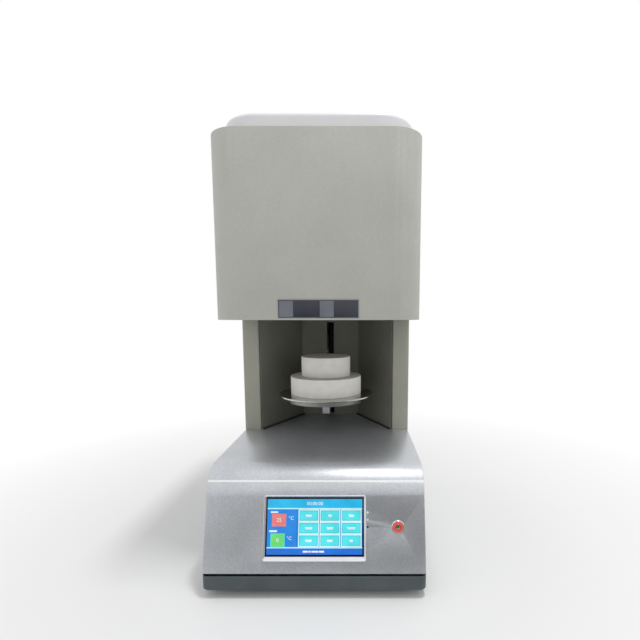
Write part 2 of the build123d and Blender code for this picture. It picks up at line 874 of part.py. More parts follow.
# Carriage on the guide rods, with its slide bushings and the screw's nut
with BuildPart() as carriage:
    with BuildSketch(Plane.XY.offset(carriage_bottom)):
        with Locations((0, lift_y)):
            Rectangle(2 * carriage_half, carriage_depth)
        with Locations((-rod_x, lift_y), (rod_x, lift_y)):
            Rectangle(bushing_size + 2 * fit_gap, bushing_size + 2 * fit_gap, mode=Mode.SUBTRACT)
        with Locations((0, lift_y)):
            RegularPolygon(nut_radius + seam, nut_sides, mode=Mode.SUBTRACT)
    extrude(amount=carriage_height)
    with BuildSketch(Plane.XY.offset(carriage_bottom)):
        with Locations((0, lift_y)):
            RegularPolygon(nut_flange_radius + seam, nut_sides)
    extrude(amount=nut_flange, mode=Mode.SUBTRACT)

with BuildPart() as slide_bushings:
    with BuildSketch(Plane.XY.offset(carriage_bottom)):
        with Locations((-rod_x, lift_y), (rod_x, lift_y)):
            Rectangle(bushing_size, bushing_size)
            RegularPolygon(
                rod_radius + fit_gap, hidden_sides, major_radius=False, mode=Mode.SUBTRACT
            )
    extrude(amount=carriage_height)

with BuildPart() as lift_nut:
    with BuildSketch(Plane.XY.offset(carriage_bottom)):
        with Locations((0, lift_y)):
            RegularPolygon(nut_radius, nut_sides)
    extrude(amount=carriage_height)
    with BuildSketch(Plane.XY.offset(carriage_bottom)):
        with Locations((0, lift_y)):
            RegularPolygon(nut_flange_radius, nut_sides)
    extrude(amount=nut_flange)
    with BuildSketch(Plane.XY.offset(carriage_bottom)):
        with Locations((0, lift_y)):
            RegularPolygon(screw_radius + fit_gap, hidden_sides, major_radius=False)
    extrude(amount=carriage_height, mode=Mode.SUBTRACT)

# Lift arm: a bar on edge from the carriage, through the slot, to the pad under the table
with BuildPart() as lift_arm:
    arm_rear_y = carriage_front_y
    arm_front_y = table_y - arm_width / 2
    with BuildSketch(Plane.XY.offset(arm_bottom)):
        with Locations((0, (arm_front_y + arm_rear_y) / 2)):
            Rectangle(arm_width, arm_rear_y - arm_front_y)
    extrude(amount=arm_height)
    with BuildSketch(Plane.XY.offset(carriage_top - arm_pad_thickness)):
        with Locations((0, table_y)):
            Rectangle(arm_pad_size, arm_pad_size)
    extrude(amount=arm_pad_thickness)
    with BuildSketch(Plane.XY.offset(carriage_bottom)):
        with Locations((0, arm_rear_y - arm_foot_thickness / 2)):
            Rectangle(arm_foot_width, arm_foot_thickness)
    extrude(amount=carriage_height)

# Polished table plate with a bevelled rim and a tapered foot, on the arm's pad
table_plane = Plane(origin=(0, table_y, 0), x_dir=(1, 0, 0), z_dir=(0, -1, 0))
with BuildPart() as table_plate:
    with BuildSketch(table_plane):
        with BuildLine():
            Polyline(
                (0, carriage_top),
                (0, table_top),
                (table_radius - table_edge, table_top),
                (table_radius, table_top - table_edge),
                (table_radius - table_foot_inset, carriage_top),
                (0, carriage_top),
            )
        make_face()
    revolve(axis=table_axis)

# Two white hearth discs: the lower one plugs the throat, the upper one carries the crucible
with BuildPart() as hearth_lower:
    with BuildSketch(Plane.XY.offset(table_top)):
        with Locations((0, table_y)):
            Circle(hearth_lower_radius)
    extrude(amount=hearth_lower_height)

with BuildPart() as hearth_upper:
    with BuildSketch(Plane.XY.offset(table_top + hearth_lower_height)):
        with Locations((0, table_y)):
            Circle(hearth_upper_radius)
    extrude(amount=hearth_upper_height)


def housing_plan(inset):
    """Plan of the housing, rounded at its two front corners and set in by a wall or a gap."""
    with BuildSketch() as plan:
        with Locations((0, (housing_front_y + rear_y) / 2)):
            Rectangle(body_width - 2 * inset, rear_y - housing_front_y - 2 * inset)
        fillet(plan.vertices().group_by(Axis.Y)[0], housing_corner - inset)
    return plan.sketch


# Housing: one sheet wrapped round the front and both sides, open at the rear
with BuildPart() as housing_shell:
    with Locations((0, 0, housing_bottom)):
        add(housing_plan(0))
    extrude(amount=housing_height)
    with Locations((0, 0, housing_bottom)):
        add(housing_plan(sheet))
    extrude(amount=housing_height, mode=Mode.SUBTRACT)
    with BuildSketch(Plane.XZ.offset(-rear_y)):
        with Locations((0, housing_bottom + housing_height / 2)):
            Rectangle(2 * inner_half, housing_height)
    extrude(amount=2 * sheet, mode=Mode.SUBTRACT)

# Floor of the housing, with the hole the hearth rises through
with BuildPart() as housing_floor:
    with Locations((0, 0, housing_bottom)):
        add(housing_plan(sheet + seam))
    extrude(amount=floor_plate)
    with BuildSketch(Plane.XY.offset(housing_bottom)):
        with Locations((0, table_y)):
            Circle(floor_hole_radius)
        with Locations((0, rear_y)):
            Rectangle(body_width, 2 * (rear_y - cover_inner_y + cover_flange + seam))
        with Locations((-upright_x, upright_y), (upright_x, upright_y)):
            Rectangle(upright_size + 2 * seam, upright_size + 2 * seam)
    extrude(amount=floor_plate, mode=Mode.SUBTRACT)

# Top plate of the housing, with air slots that the cap covers
with BuildPart() as housing_top:
    with Locations((0, 0, top_plate_z - sheet)):
        add(housing_plan(sheet + seam))
    extrude(amount=sheet)
    with BuildSketch(Plane.XY.offset(top_plate_z - sheet)):
        with Locations((0, rear_y)):
            Rectangle(body_width, 2 * (rear_y - cover_inner_y + seam))
        with Locations((0, (cap_front_y + cap_rear_y) / 2)):
            with GridLocations(vent_pitch_x, vent_pitch_y, 2, 4):
                Rectangle(vent_width, vent_depth)
    extrude(amount=sheet, mode=Mode.SUBTRACT)

# White cap over the air slots, rounded in plan, hollow, open at its foot and slotted behind
with BuildPart() as top_cap:
    cap_depth = cap_rear_y - cap_front_y
    cap_tall = housing_top_z + cap_height - top_plate_z
    with BuildSketch(Plane.XY.offset(top_plate_z)):
        with Locations((0, (cap_front_y + cap_rear_y) / 2)):
            RectangleRounded(2 * cap_half, cap_depth, cap_corner)
    extrude(amount=cap_tall)
    chamfer(top_cap.faces().sort_by(Axis.Z)[-1].edges(), cap_chamfer)
    with BuildSketch(Plane.XY.offset(top_plate_z)):
        with Locations((0, (cap_front_y + cap_rear_y) / 2)):
            RectangleRounded(
                2 * (cap_half - cap_wall), cap_depth - 2 * cap_wall, cap_corner - cap_wall
            )
    extrude(amount=cap_tall - cap_chamfer, mode=Mode.SUBTRACT)
    with BuildSketch(Plane.XZ.offset(-cap_rear_y)):
        with Locations((0, top_plate_z + cap_tall / 2)):
            with GridLocations(cap_slot_pitch_x, cap_slot_pitch_z, 2, 2):
                Rectangle(cap_slot_width, cap_slot_height)
    extrude(amount=2 * cap_wall, both=True, mode=Mode.SUBTRACT)

housing_rear_cover = rear_cover(housing_bottom, top_plate_z - sheet, 2, 4)

# Fibre insulation, square outside and round within, in its sheet casing: ring, wall and roof
with BuildPart() as insulation_ring:
    with BuildSketch(Plane.XY.offset(ring_bottom)):
        with Locations((0, table_y)):
            Rectangle(2 * insulation_half, 2 * insulation_half)
            Circle(throat_radius, mode=Mode.SUBTRACT)
    extrude(amount=ring_height)

with BuildPart() as insulation_wall:
    with BuildSketch(Plane.XY.offset(chamber_bottom)):
        with Locations((0, table_y)):
            Rectangle(2 * insulation_half, 2 * insulation_half)
            Circle(throat_radius, mode=Mode.SUBTRACT)
    extrude(amount=chamber_height)

element_holes = [
    (element_ring_radius, side * element_half_width) for side in (-1, 1)
]
with BuildPart() as insulation_roof:
    with BuildSketch(Plane.XY.offset(roof_bottom)):
        with Locations((0, table_y)):
            Rectangle(2 * insulation_half, 2 * insulation_half)
            RegularPolygon(
                thermocouple_radius + element_hole_gap,
                element_sides,
                major_radius=False,
                mode=Mode.SUBTRACT,
            )
            with PolarLocations(0, element_count, start_angle=element_start):
                with Locations(*element_holes):
                    RegularPolygon(
                        element_terminal_radius + element_hole_gap, element_sides, mode=Mode.SUBTRACT
                    )
    extrude(amount=roof_height)

with BuildPart() as chamber_casing:
    casing_bore = 2 * (casing_half - casing_wall)
    with BuildSketch(Plane.XY.offset(ring_bottom)):
        with Locations((0, table_y)):
            Rectangle(2 * casing_half, 2 * casing_half)
            Rectangle(casing_bore, casing_bore, mode=Mode.SUBTRACT)
    extrude(amount=ring_height + chamber_height + roof_height)

# One U-shaped heating element, then four of them round the chamber
with BuildPart() as element:
    hot_top = roof_bottom + 2 * element_terminal_radius
    bend_z = roof_bottom - element_reach + element_half_width
    bend_turns = [
        radians(180 + 180 * step / element_bend_steps) for step in range(element_bend_steps + 1)
    ]
    bend_points = [
        (element_half_width * cos(turn), bend_z + element_half_width * sin(turn))
        for turn in bend_turns
    ]
    with BuildLine(Plane.YZ.offset(element_ring_radius)):
        Polyline(
            (-element_half_width, hot_top), *bend_points, (element_half_width, hot_top)
        )
    with BuildSketch(Plane.XY.offset(hot_top)):
        with Locations((element_ring_radius, -element_half_width)):
            RegularPolygon(element_hot_radius, element_sides)
    sweep(transition=Transition.RIGHT)
    with BuildSketch(Plane.XY.offset(hot_top)):
        with Locations(*element_holes):
            RegularPolygon(element_terminal_radius, element_sides)
    extrude(amount=roof_top + element_rise - hot_top)

with BuildPart() as heating_elements:
    with Locations((0, table_y)):
        with PolarLocations(0, element_count, start_angle=element_start):
            add(element.part)

# Ceramic blocks that hold each element's two terminals above the roof
with BuildPart() as element_holders:
    with BuildSketch(Plane.XY.offset(roof_top)):
        with Locations((0, table_y)):
            with PolarLocations(0, element_count, start_angle=element_start):
                with Locations((element_ring_radius, 0)):
                    Rectangle(
                        2 * (element_terminal_radius + holder_margin),
                        2 * (element_half_width + element_terminal_radius + holder_margin),
                    )
                with Locations(*element_holes):
                    RegularPolygon(
                        element_terminal_radius + fit_gap, element_sides, mode=Mode.SUBTRACT
                    )
    extrude(amount=holder_height)

# Straps that join neighbouring elements in series, open on the side the leads come in
strap_radius = (element_ring_radius + element_half_width) * cos(radians(element_start))
strap_reach = (element_ring_radius - element_half_width) * sin(radians(element_start))
with BuildPart() as element_straps:
    with BuildSketch(Plane.XY.offset(holder_top)):
        with Locations((0, table_y)):
            with PolarLocations(0, element_count - 1, start_angle=90, angular_range=270):
                with Locations((strap_radius, 0)):
                    Rectangle(strap_width, 2 * strap_reach + strap_width)
                with Locations((strap_radius, -strap_reach), (strap_radius, strap_reach)):
                    RegularPolygon(
                        element_terminal_radius + fit_gap,
                        element_sides,
                        major_radius=False,
                        mode=Mode.SUBTRACT,
                    )
    extrude(amount=strap_height)

# Thermocouple: ceramic sheath through the roof and its connection head on top
with BuildPart() as thermocouple:
    with BuildSketch(Plane.XY.offset(roof_bottom - thermocouple_reach)):
        with Locations((0, table_y)):
            RegularPolygon(thermocouple_radius, small_sides)
    extrude(amount=roof_height + thermocouple_reach)
    with BuildSketch(Plane.XY.offset(roof_top)):
        with Locations((0, table_y)):
            Rectangle(thermocouple_head_size, thermocouple_head_size)
    extrude(amount=thermocouple_head_height)

# Plain trim plate stuck to the housing's front, at its foot
with BuildPart() as trim_plate:
    with BuildSketch(Plane.XZ.offset(-housing_front_y)):
        with Locations((trim_plate_x, housing_bottom + trim_plate_lift + trim_plate_height / 2)):
            Rectangle(trim_plate_width, trim_plate_height)
    extrude(amount=trim_plate_thickness)

# Cooling fan behind the base's rear panel: frame with its hub plate, struts and axle pin
fan_centre = (fan_x, fan_z)
fan_front_y = cover_inner_y - fan_depth
rotor_front_y = fan_front_y + fan_strut_depth + fan_end_gap
rotor_rear_y = cover_inner_y - fan_end_gap
with BuildPart() as fan_frame:
    with BuildSketch(Plane.XZ.offset(-cover_inner_y)):
        with Locations(fan_centre):
            Rectangle(fan_size, fan_size)
            RegularPolygon(fan_bore_radius, hidden_sides, major_radius=False, mode=Mode.SUBTRACT)
    extrude(amount=fan_depth)
    with BuildSketch(Plane.XZ.offset(-(fan_front_y + fan_strut_depth))):
        with Locations(fan_centre):
            RegularPolygon(fan_hub_radius, hidden_sides)
            Rectangle(fan_size, fan_strut_width)
            Rectangle(fan_strut_width, fan_size)
    extrude(amount=fan_strut_depth)
    with BuildSketch(Plane.XZ.offset(-(rotor_front_y + fan_pin_length))):
        with Locations(fan_centre):
            RegularPolygon(fan_pin_radius, small_sides)
    extrude(amount=fan_pin_length + fan_end_gap)

# Fan rotor: hub with slanted blades
with BuildPart() as fan_rotor:
    rotor_depth = rotor_rear_y - rotor_front_y
    rotor_mid_y = (rotor_front_y + rotor_rear_y) / 2
    blade_root = fan_hub_radius - blade_sunk
    blade_tip = fan_bore_radius - fan_tip_gap
    with BuildSketch(Plane.XZ.offset(-rotor_rear_y)):
        with Locations(fan_centre):
            RegularPolygon(fan_hub_radius, hidden_sides)
    extrude(amount=rotor_depth)
    for blade in range(fan_blades):
        turn = radians(360 * blade / fan_blades)
        outward = Plane(
            origin=(fan_x, rotor_mid_y, fan_z), x_dir=(0, 1, 0), z_dir=(cos(turn), 0, sin(turn))
        )
        with BuildSketch(outward.offset(blade_root)):
            Rectangle(blade_chord, blade_thickness, rotation=blade_pitch)
        extrude(amount=blade_tip - blade_root)
    with BuildSketch(Plane.XZ.offset(-(rotor_front_y + fan_pin_length + fan_end_gap))):
        with Locations(fan_centre):
            RegularPolygon(fan_pin_radius + fit_gap, small_sides, major_radius=False)
    extrude(amount=fan_pin_length + fan_end_gap, mode=Mode.SUBTRACT)

# Barred guard, pressed against the rear panel's outer face
with BuildPart() as fan_guard:
    with BuildSketch(Plane.XZ.offset(-(rear_face_y + guard_wire))):
        with Locations(fan_centre):
            with GridLocations(guard_pitch, 0, guard_bars, 1):
                Rectangle(guard_wire, 2 * (fan_bore_radius + guard_lap))
            with GridLocations(0, 2 * guard_pitch, 1, 2):
                Rectangle(2 * (fan_bore_radius + guard_lap), guard_wire)
    extrude(amount=guard_wire)

# Power inlet: flange outside the panel, body behind it, socket with three flat pins
with BuildPart() as mains_inlet:
    inlet_face_y = rear_face_y + inlet_flange_thickness
    socket_floor_y = inlet_face_y - socket_depth
    with BuildSketch(Plane.XZ.offset(-inlet_face_y)):
        with Locations((inlet_x, inlet_z)):
            Rectangle(inlet_flange_width, inlet_flange_height)
    extrude(amount=inlet_flange_thickness)
    with BuildSketch(Plane.XZ.offset(-rear_face_y)):
        with Locations((inlet_x, inlet_z)):
            Rectangle(inlet_body_width, inlet_body_height)
    extrude(amount=inlet_body_depth)
    with BuildSketch(Plane.XZ.offset(-inlet_face_y)):
        with Locations((inlet_x, inlet_z)):
            Rectangle(socket_width, socket_height)
    extrude(amount=socket_depth, mode=Mode.SUBTRACT)
    with BuildSketch(Plane.XZ.offset(-(socket_floor_y + pin_length))):
        with Locations(
            (inlet_x - pin_pitch / 2, inlet_z - pin_offset),
            (inlet_x + pin_pitch / 2, inlet_z - pin_offset),
            (inlet_x, inlet_z + pin_offset),
        ):
            Rectangle(pin_width, pin_thickness)
    extrude(amount=pin_length)

# Power switch: flanged housing, and the rocker on its two stub pins
switch_face_y = rear_face_y + switch_flange_thickness
rocker_pivot_y = rear_face_y - rocker_pivot_depth
with BuildPart() as switch_housing:
    with BuildSketch(Plane.XZ.offset(-switch_face_y)):
        with Locations((inlet_x, switch_z)):
            Rectangle(switch_flange_width, switch_flange_height)
    extrude(amount=switch_flange_thickness)
    with BuildSketch(Plane.XZ.offset(-rear_face_y)):
        with Locations((inlet_x, switch_z)):
            Rectangle(switch_body_width, switch_body_height)
    extrude(amount=switch_body_depth)
    with BuildSketch(Plane.XZ.offset(-switch_face_y)):
        with Locations((inlet_x, switch_z)):
            Rectangle(rocker_width + 2 * rocker_gap, rocker_height + 2 * rocker_gap)
    extrude(amount=rocker_well, mode=Mode.SUBTRACT)
    with BuildSketch(Plane.YZ.offset(inlet_x)):
        with Locations((rocker_pivot_y, switch_z)):
            RegularPolygon(rocker_pin_radius + fit_gap, small_sides, major_radius=False)
    extrude(amount=rocker_width / 2 + rocker_gap + rocker_pin_length, both=True, mode=Mode.SUBTRACT)

rocker_plane = Plane(
    origin=(inlet_x, rocker_pivot_y, switch_z),
    x_dir=(0, cos(radians(rocker_tilt)), sin(radians(rocker_tilt))),
    z_dir=(1, 0, 0),
)
with BuildPart() as switch_rocker:
    half_rocker = rocker_height / 2 - rocker_gap
    with BuildSketch(rocker_plane):
        with BuildLine():
            Polyline(
                (-rocker_back / 2, -half_rocker),
                (rocker_front, -half_rocker),
                (rocker_front - rocker_dish, 0),
                (rocker_front, half_rocker),
                (-rocker_back / 2, half_rocker),
                (-rocker_back, 0),
                (-rocker_back / 2, -half_rocker),
            )
        make_face()
    extrude(amount=rocker_width / 2, both=True)
    with BuildSketch(rocker_plane):
        RegularPolygon(rocker_pin_radius, small_sides)
    extrude(
        amount=rocker_width / 2 + rocker_gap + rocker_pin_length - rocker_pin_end_gap, both=True
    )

# Hexagon-head screws at the corners of the three rear covers
with BuildPart() as rear_screws:
    for cover_foot, cover_head in (
        (panel_foot, base_top),
        (base_top, housing_bottom),
        (housing_bottom, housing_top_z),
    ):
        with BuildSketch(Plane.XZ.offset(-(rear_face_y + screw_head_height))):
            with Locations((0, (cover_foot + cover_head) / 2)):
                with GridLocations(
                    2 * (inner_half - screw_edge), cover_head - cover_foot - 2 * screw_edge, 2, 2
                ):
                    RegularPolygon(screw_head_radius, screw_head_sides)
        extrude(amount=screw_head_height)

pieces = {
    "feet": feet,
    "plinth": plinth,
    "base_pan": base_pan,
    "trim_strip": trim_strip,
    "front_panel": front_panel,
    "base_cover": base_cover,
    "base_rear_panel": base_rear_panel,
    "display_frame": display_frame,
    "display_glass": display_glass,
    "display_module": display_module,
    "indicator_lamps": indicator_lamps,
    "button_housing": button_housing,
    "button_ring": button_ring,
    "button_cap": button_cap,
    "transformer": transformer,
    "power_supply": power_supply,
    "heat_sink": heat_sink,
    "power_relay": power_relay,
    "control_board": control_board,
    "column_left": column_left,
    "column_right": column_right,
    "recess_liner": recess_liner,
    "column_rear_cover": column_rear_cover,
    "uprights": uprights,
    "lower_bracket": lower_bracket,
    "upper_bracket": upper_bracket,
    "guide_rods": guide_rods,
    "screw_bearings": screw_bearings,
    "lead_screw": lead_screw,
    "shaft_coupling": shaft_coupling,
    "motor_bracket": motor_bracket,
    "lift_motor": lift_motor,
    "carriage": carriage,
    "slide_bushings": slide_bushings,
    "lift_nut": lift_nut,
    "lift_arm": lift_arm,
    "table_plate": table_plate,
    "hearth_lower": hearth_lower,
    "hearth_upper": hearth_upper,
    "housing_shell": housing_shell,
    "housing_floor": housing_floor,
    "housing_top": housing_top,
    "top_cap": top_cap,
    "housing_rear_cover": housing_rear_cover,
    "insulation_ring": insulation_ring,
    "insulation_wall": insulation_wall,
    "insulation_roof": insulation_roof,
    "chamber_casing": chamber_casing,
    "heating_elements": heating_elements,
    "element_holders": element_holders,
    "element_straps": element_straps,
    "thermocouple": thermocouple,
    "trim_plate": trim_plate,
    "fan_frame": fan_frame,
    "fan_rotor": fan_rotor,
    "fan_guard": fan_guard,
    "mains_inlet": mains_inlet,
    "switch_housing": switch_housing,
    "switch_rocker": switch_rocker,
    "rear_screws": rear_screws,
}
for name, piece in pieces.items():
    piece.part.label = name
    export_step(piece.part, f"parts/{name}.step")
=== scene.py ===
import json
from math import cos, pi, radians, sin

import bmesh
import bpy
from mathutils import Matrix, Vector


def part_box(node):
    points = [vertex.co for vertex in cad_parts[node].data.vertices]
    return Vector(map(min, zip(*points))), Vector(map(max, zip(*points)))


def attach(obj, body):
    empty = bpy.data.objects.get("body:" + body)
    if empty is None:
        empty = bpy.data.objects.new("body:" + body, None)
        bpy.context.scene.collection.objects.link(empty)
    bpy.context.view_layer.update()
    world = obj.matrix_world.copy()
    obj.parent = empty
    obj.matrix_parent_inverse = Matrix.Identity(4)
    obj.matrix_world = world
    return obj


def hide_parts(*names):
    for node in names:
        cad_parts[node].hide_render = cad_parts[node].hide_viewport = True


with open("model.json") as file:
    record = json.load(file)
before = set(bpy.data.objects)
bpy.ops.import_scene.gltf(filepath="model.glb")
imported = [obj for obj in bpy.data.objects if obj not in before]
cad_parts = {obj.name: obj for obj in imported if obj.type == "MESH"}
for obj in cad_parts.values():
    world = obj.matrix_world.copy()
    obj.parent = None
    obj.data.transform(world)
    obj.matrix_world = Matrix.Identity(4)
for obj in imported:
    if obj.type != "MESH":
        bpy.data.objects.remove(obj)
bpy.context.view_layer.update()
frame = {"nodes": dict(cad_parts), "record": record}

# Viewpoint: a camera level with the loading bay's top, a little right of the middle and looking
# slightly down. The small shift puts the furnace where the photograph has it.
scene = bpy.context.scene
scene.view_settings.view_transform = "Standard"
view_camera = bpy.data.cameras.new("camera")
view_camera.sensor_width = 36.0
view_camera.lens = 23.68
view_camera.shift_x = -0.0611
view_camera.shift_y = 0.0680


def placed(name, data):
    """New object in the scene, made of the data."""
    made = bpy.data.objects.new(name, data)
    scene.collection.objects.link(made)
    return made


camera_stand = placed("camera", view_camera)
camera_stand.location = (0.0740, -0.9119, 0.4666)
camera_stand.rotation_euler = (radians(83.12), 0.0, 0.0)
scene.camera = camera_stand

# Studio: a white room that lights from all round, one soft lamp high over the housing's front, a
# pale floor that goes over into the white room, and two dark flags before the furnace, which
# only its gloss shows, so that the silver front is darker than the silver top.
room_light = 0.74
lamp_power = 26.0
white = (1.0, 1.0, 1.0, 1.0)


def added(tree, kind, values=None, **settings):
    """New node of a tree, with its settings and the values of its inputs."""
    node = tree.nodes.new(kind)
    for setting, choice in settings.items():
        setattr(node, setting, choice)
    for inlet, value in (values or {}).items():
        node.inputs[inlet].default_value = value
    return node


def wired(tree, *links):
    """Links in a tree, each from an output of one node to an input of another."""
    for source, outlet, target, inlet in links:
        tree.links.new(source.outputs[outlet], target.inputs[inlet])


def background_rays(tree):
    """Node that gives 1 for rays from the camera, off gloss and through glass, and 0 for the rest."""
    seen = added(tree, "ShaderNodeLightPath")
    direct = added(tree, "ShaderNodeMath", operation="MAXIMUM")
    every = added(tree, "ShaderNodeMath", operation="MAXIMUM")
    wired(
        tree,
        (seen, "Is Camera Ray", direct, 0),
        (seen, "Is Glossy Ray", direct, 1),
        (direct, 0, every, 0),
        (seen, "Is Transmission Ray", every, 1),
    )
    return every


world = bpy.data.worlds.new("white_room")
world.use_nodes = True
scene.world = world
room = world.node_tree
backdrop = room.nodes["Background"]
backdrop.inputs["Color"].default_value = white
strength = added(room, "ShaderNodeMapRange", {"To Min": room_light, "To Max": 1.0})
wired(
    room,
    (background_rays(room), 0, strength, "Value"),
    (strength, "Result", backdrop, "Strength"),
)

overhead = bpy.data.lights.new("overhead", "AREA")
overhead.shape = "RECTANGLE"
overhead.size = 0.5
overhead.size_y = 0.22
overhead.energy = lamp_power
overhead_stand = placed("overhead", overhead)
overhead_stand.location = (0.45, -0.24, 2.9)
aim = Vector((0.0, -0.2, 0.2)) - overhead_stand.location
overhead_stand.rotation_euler = aim.to_track_quat("-Z", "Y").to_euler()


def card(name, corners, material):
    """A flat card of the studio."""
    mesh = bpy.data.meshes.new(name)
    mesh.from_pydata(corners, [], [(0, 1, 2, 3)])
    mesh.materials.append(material)
    made = placed(name, mesh)
    return made


def new_finish(name):
    """New material, with its node tree and its shader."""
    made = bpy.data.materials.new(name)
    made.use_nodes = True
    return made, made.node_tree, made.node_tree.nodes["Principled BSDF"]


floor_paper, paper, unused = new_finish("floor_paper")
paper.nodes.remove(unused)
matt = added(paper, "ShaderNodeBsdfDiffuse", {"Color": (0.86, 0.86, 0.86, 1.0)})
glow = added(paper, "ShaderNodeEmission")
away = added(paper, "ShaderNodeMixShader")
where = added(paper, "ShaderNodeTexCoord")
reach = added(paper, "ShaderNodeVectorMath", operation="LENGTH")
fade = added(paper, "ShaderNodeMapRange", {"From Min": 0.42, "From Max": 1.1})
only_seen = added(paper, "ShaderNodeMath", operation="MULTIPLY")
wired(
    paper,
    (where, "Object", reach, 0),
    (reach, "Value", fade, "Value"),
    (fade, "Result", only_seen, 0),
    (background_rays(paper), 0, only_seen, 1),
    (only_seen, 0, away, "Fac"),
    (matt, "BSDF", away, 1),
    (glow, "Emission", away, 2),
    (away, "Shader", paper.nodes["Material Output"], "Surface"),
)
paper_half = 4
card("studio_floor", [
    (-paper_half, -paper_half, 0), (paper_half, -paper_half, 0),
    (paper_half, paper_half, 0), (-paper_half, paper_half, 0),
], floor_paper)

flag_left = -1.1
flag_right = 1.8
flag_far = -1.6
flag_near = -0.40
flag_top = 0.52
flag_lift = 0.003
flag_cloth, cloth, unused = new_finish("flag_cloth")
cloth.nodes.remove(unused)
dim = added(cloth, "ShaderNodeEmission")
spot = added(cloth, "ShaderNodeTexCoord")
axes = added(cloth, "ShaderNodeSeparateXYZ")
darker = added(cloth, "ShaderNodeMapRange", {
    "From Min": flag_left,
    "From Max": 0.3,
    "To Min": 0.75,
    "To Max": 0.02,
})
wired(
    cloth,
    (spot, "Object", axes, 0),
    (axes, "X", darker, "Value"),
    (darker, "Result", dim, "Color"),
    (dim, "Emission", cloth.nodes["Material Output"], "Surface"),
)
for flag_name, flag_corners in (
    ("upright_flag", [
        (flag_left, flag_far, 0.0), (flag_right, flag_far, 0.0),
        (flag_right, flag_far, flag_top), (flag_left, flag_far, flag_top),
    ]),
    ("floor_flag", [
        (flag_left, flag_far, flag_lift), (flag_right, flag_far, flag_lift),
        (flag_right, flag_near, flag_lift), (flag_left, flag_near, flag_lift),
    ]),
):
    flag = card(flag_name, flag_corners, flag_cloth)
    flag.visible_camera = False
    flag.visible_diffuse = False
    flag.visible_transmission = False
    flag.visible_shadow = False

# Feet: four round rubber feet with a softened rim, screwed up under the floor pan. Moulded
# black rubber with a fine matt skin.
nodes = frame["nodes"]
body_names = frame["record"]["behaviour"]["bodies"]
body_of = {node: body for body, members in body_names.items() for node in members}
turned_fold_degrees = 38


def ramp(tree, stops):
    """New colour ramp of a tree, from its two places and their colours."""
    node = added(tree, "ShaderNodeValToRGB")
    for element, (position, colour) in zip(node.color_ramp.elements, stops):
        element.position = position
        element.color = (*colour, 1.0)
    return node


def coated(name, light, dark, patch, grain, relief, roughness, metallic=0.0, fleck=0.0):
    """Finish whose colour drifts between two tones over patches, with a fine raised grain.

    patch and grain are the sizes of the drift and the grain, relief is the grain's height, all in
    metres, and fleck is how much single grains differ in brightness.
    """
    made, tree, shader = new_finish(name)
    shader.inputs["Roughness"].default_value = roughness
    shader.inputs["Metallic"].default_value = metallic
    place = added(tree, "ShaderNodeTexCoord")
    drift = added(tree, "ShaderNodeTexNoise", {"Scale": 1 / patch, "Detail": 4.0})
    tones = ramp(tree, [(0.3, dark), (0.7, light)])
    skin = added(tree, "ShaderNodeTexNoise", {"Scale": 1 / grain, "Detail": 3.0})
    raised = added(tree, "ShaderNodeBump", {"Distance": relief})
    wired(
        tree,
        (place, "Object", drift, "Vector"),
        (place, "Object", skin, "Vector"),
        (drift, "Fac", tones, "Fac"),
        (skin, "Fac", raised, "Height"),
        (raised, "Normal", shader, "Normal"),
    )
    if not fleck:
        wired(tree, (tones, "Color", shader, "Base Color"))
        return made
    cells = added(tree, "ShaderNodeTexVoronoi", {"Scale": 0.6 / grain})
    shade = added(tree, "ShaderNodeMapRange", {"To Min": 1.0 - fleck, "To Max": 1.0 + fleck})
    spread = added(tree, "ShaderNodeVectorMath", operation="SCALE")
    split = added(tree, "ShaderNodeSeparateColor")
    wired(
        tree,
        (place, "Object", cells, "Vector"),
        (cells, "Color", split, "Color"),
        (split, "Red", shade, "Value"),
        (tones, "Color", spread, 0),
        (shade, "Result", spread, "Scale"),
        (spread, "Vector", shader, "Base Color"),
    )
    return made


def softened(outline, radius, steps=4):
    """The outline with each inner corner rounded off to about the given radius."""
    smooth = [Vector(outline[0])]
    for before, corner, after in zip(outline, outline[1:], outline[2:]):
        corner = Vector(corner)
        back = Vector(before) - corner
        on = Vector(after) - corner
        cut = min(radius, back.length / 2.2, on.length / 2.2)
        start = corner + back.normalized() * cut
        end = corner + on.normalized() * cut
        for step in range(steps + 1):
            part = step / steps
            smooth.append(start * (1 - part) ** 2 + corner * 2 * part * (1 - part) + end * part**2)
    smooth.append(Vector(outline[-1]))
    return smooth


def piece_of(name, work):
    """New object in the scene, with the mesh that the work holds."""
    mesh = bpy.data.meshes.new(name)
    work.to_mesh(mesh)
    work.free()
    return placed(name, mesh)


def smoothed(piece, fold_degrees):
    """The piece with smooth shading, save for edges that fold by more than the given angle."""
    piece.data.shade_smooth()
    piece.data.set_sharp_from_angle(angle=radians(fold_degrees))
    return piece


def turned(name, outline, stand, sides):
    """Closed turned mesh: the outline's (radius, height) points spun about the stand's Z axis."""
    work = bmesh.new()
    rings = []
    for radius, height in outline:
        if radius < 1e-7:
            rings.append([work.verts.new((0, 0, height))])
            continue
        turns = [2 * pi * side / sides for side in range(sides)]
        rings.append([work.verts.new((radius * cos(t), radius * sin(t), height)) for t in turns])
    for low, high in zip(rings, rings[1:]):
        for side in range(sides):
            after = (side + 1) % sides
            lower = [low[side % len(low)], low[after % len(low)]]
            upper = [high[after % len(high)], high[side % len(high)]]
            work.faces.new(list(dict.fromkeys(lower + upper)))
    bmesh.ops.recalc_face_normals(work, faces=work.faces)
    work.transform(stand)
    return smoothed(piece_of(name, work), turned_fold_degrees)


def fitted(piece, node, finish):
    """The piece stands for a CAD node: it takes the node's body and the finish, and hides the node."""
    piece.data.materials.clear()
    piece.data.materials.append(finish)
    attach(piece, body_of[node])
    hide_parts(node)
    return piece


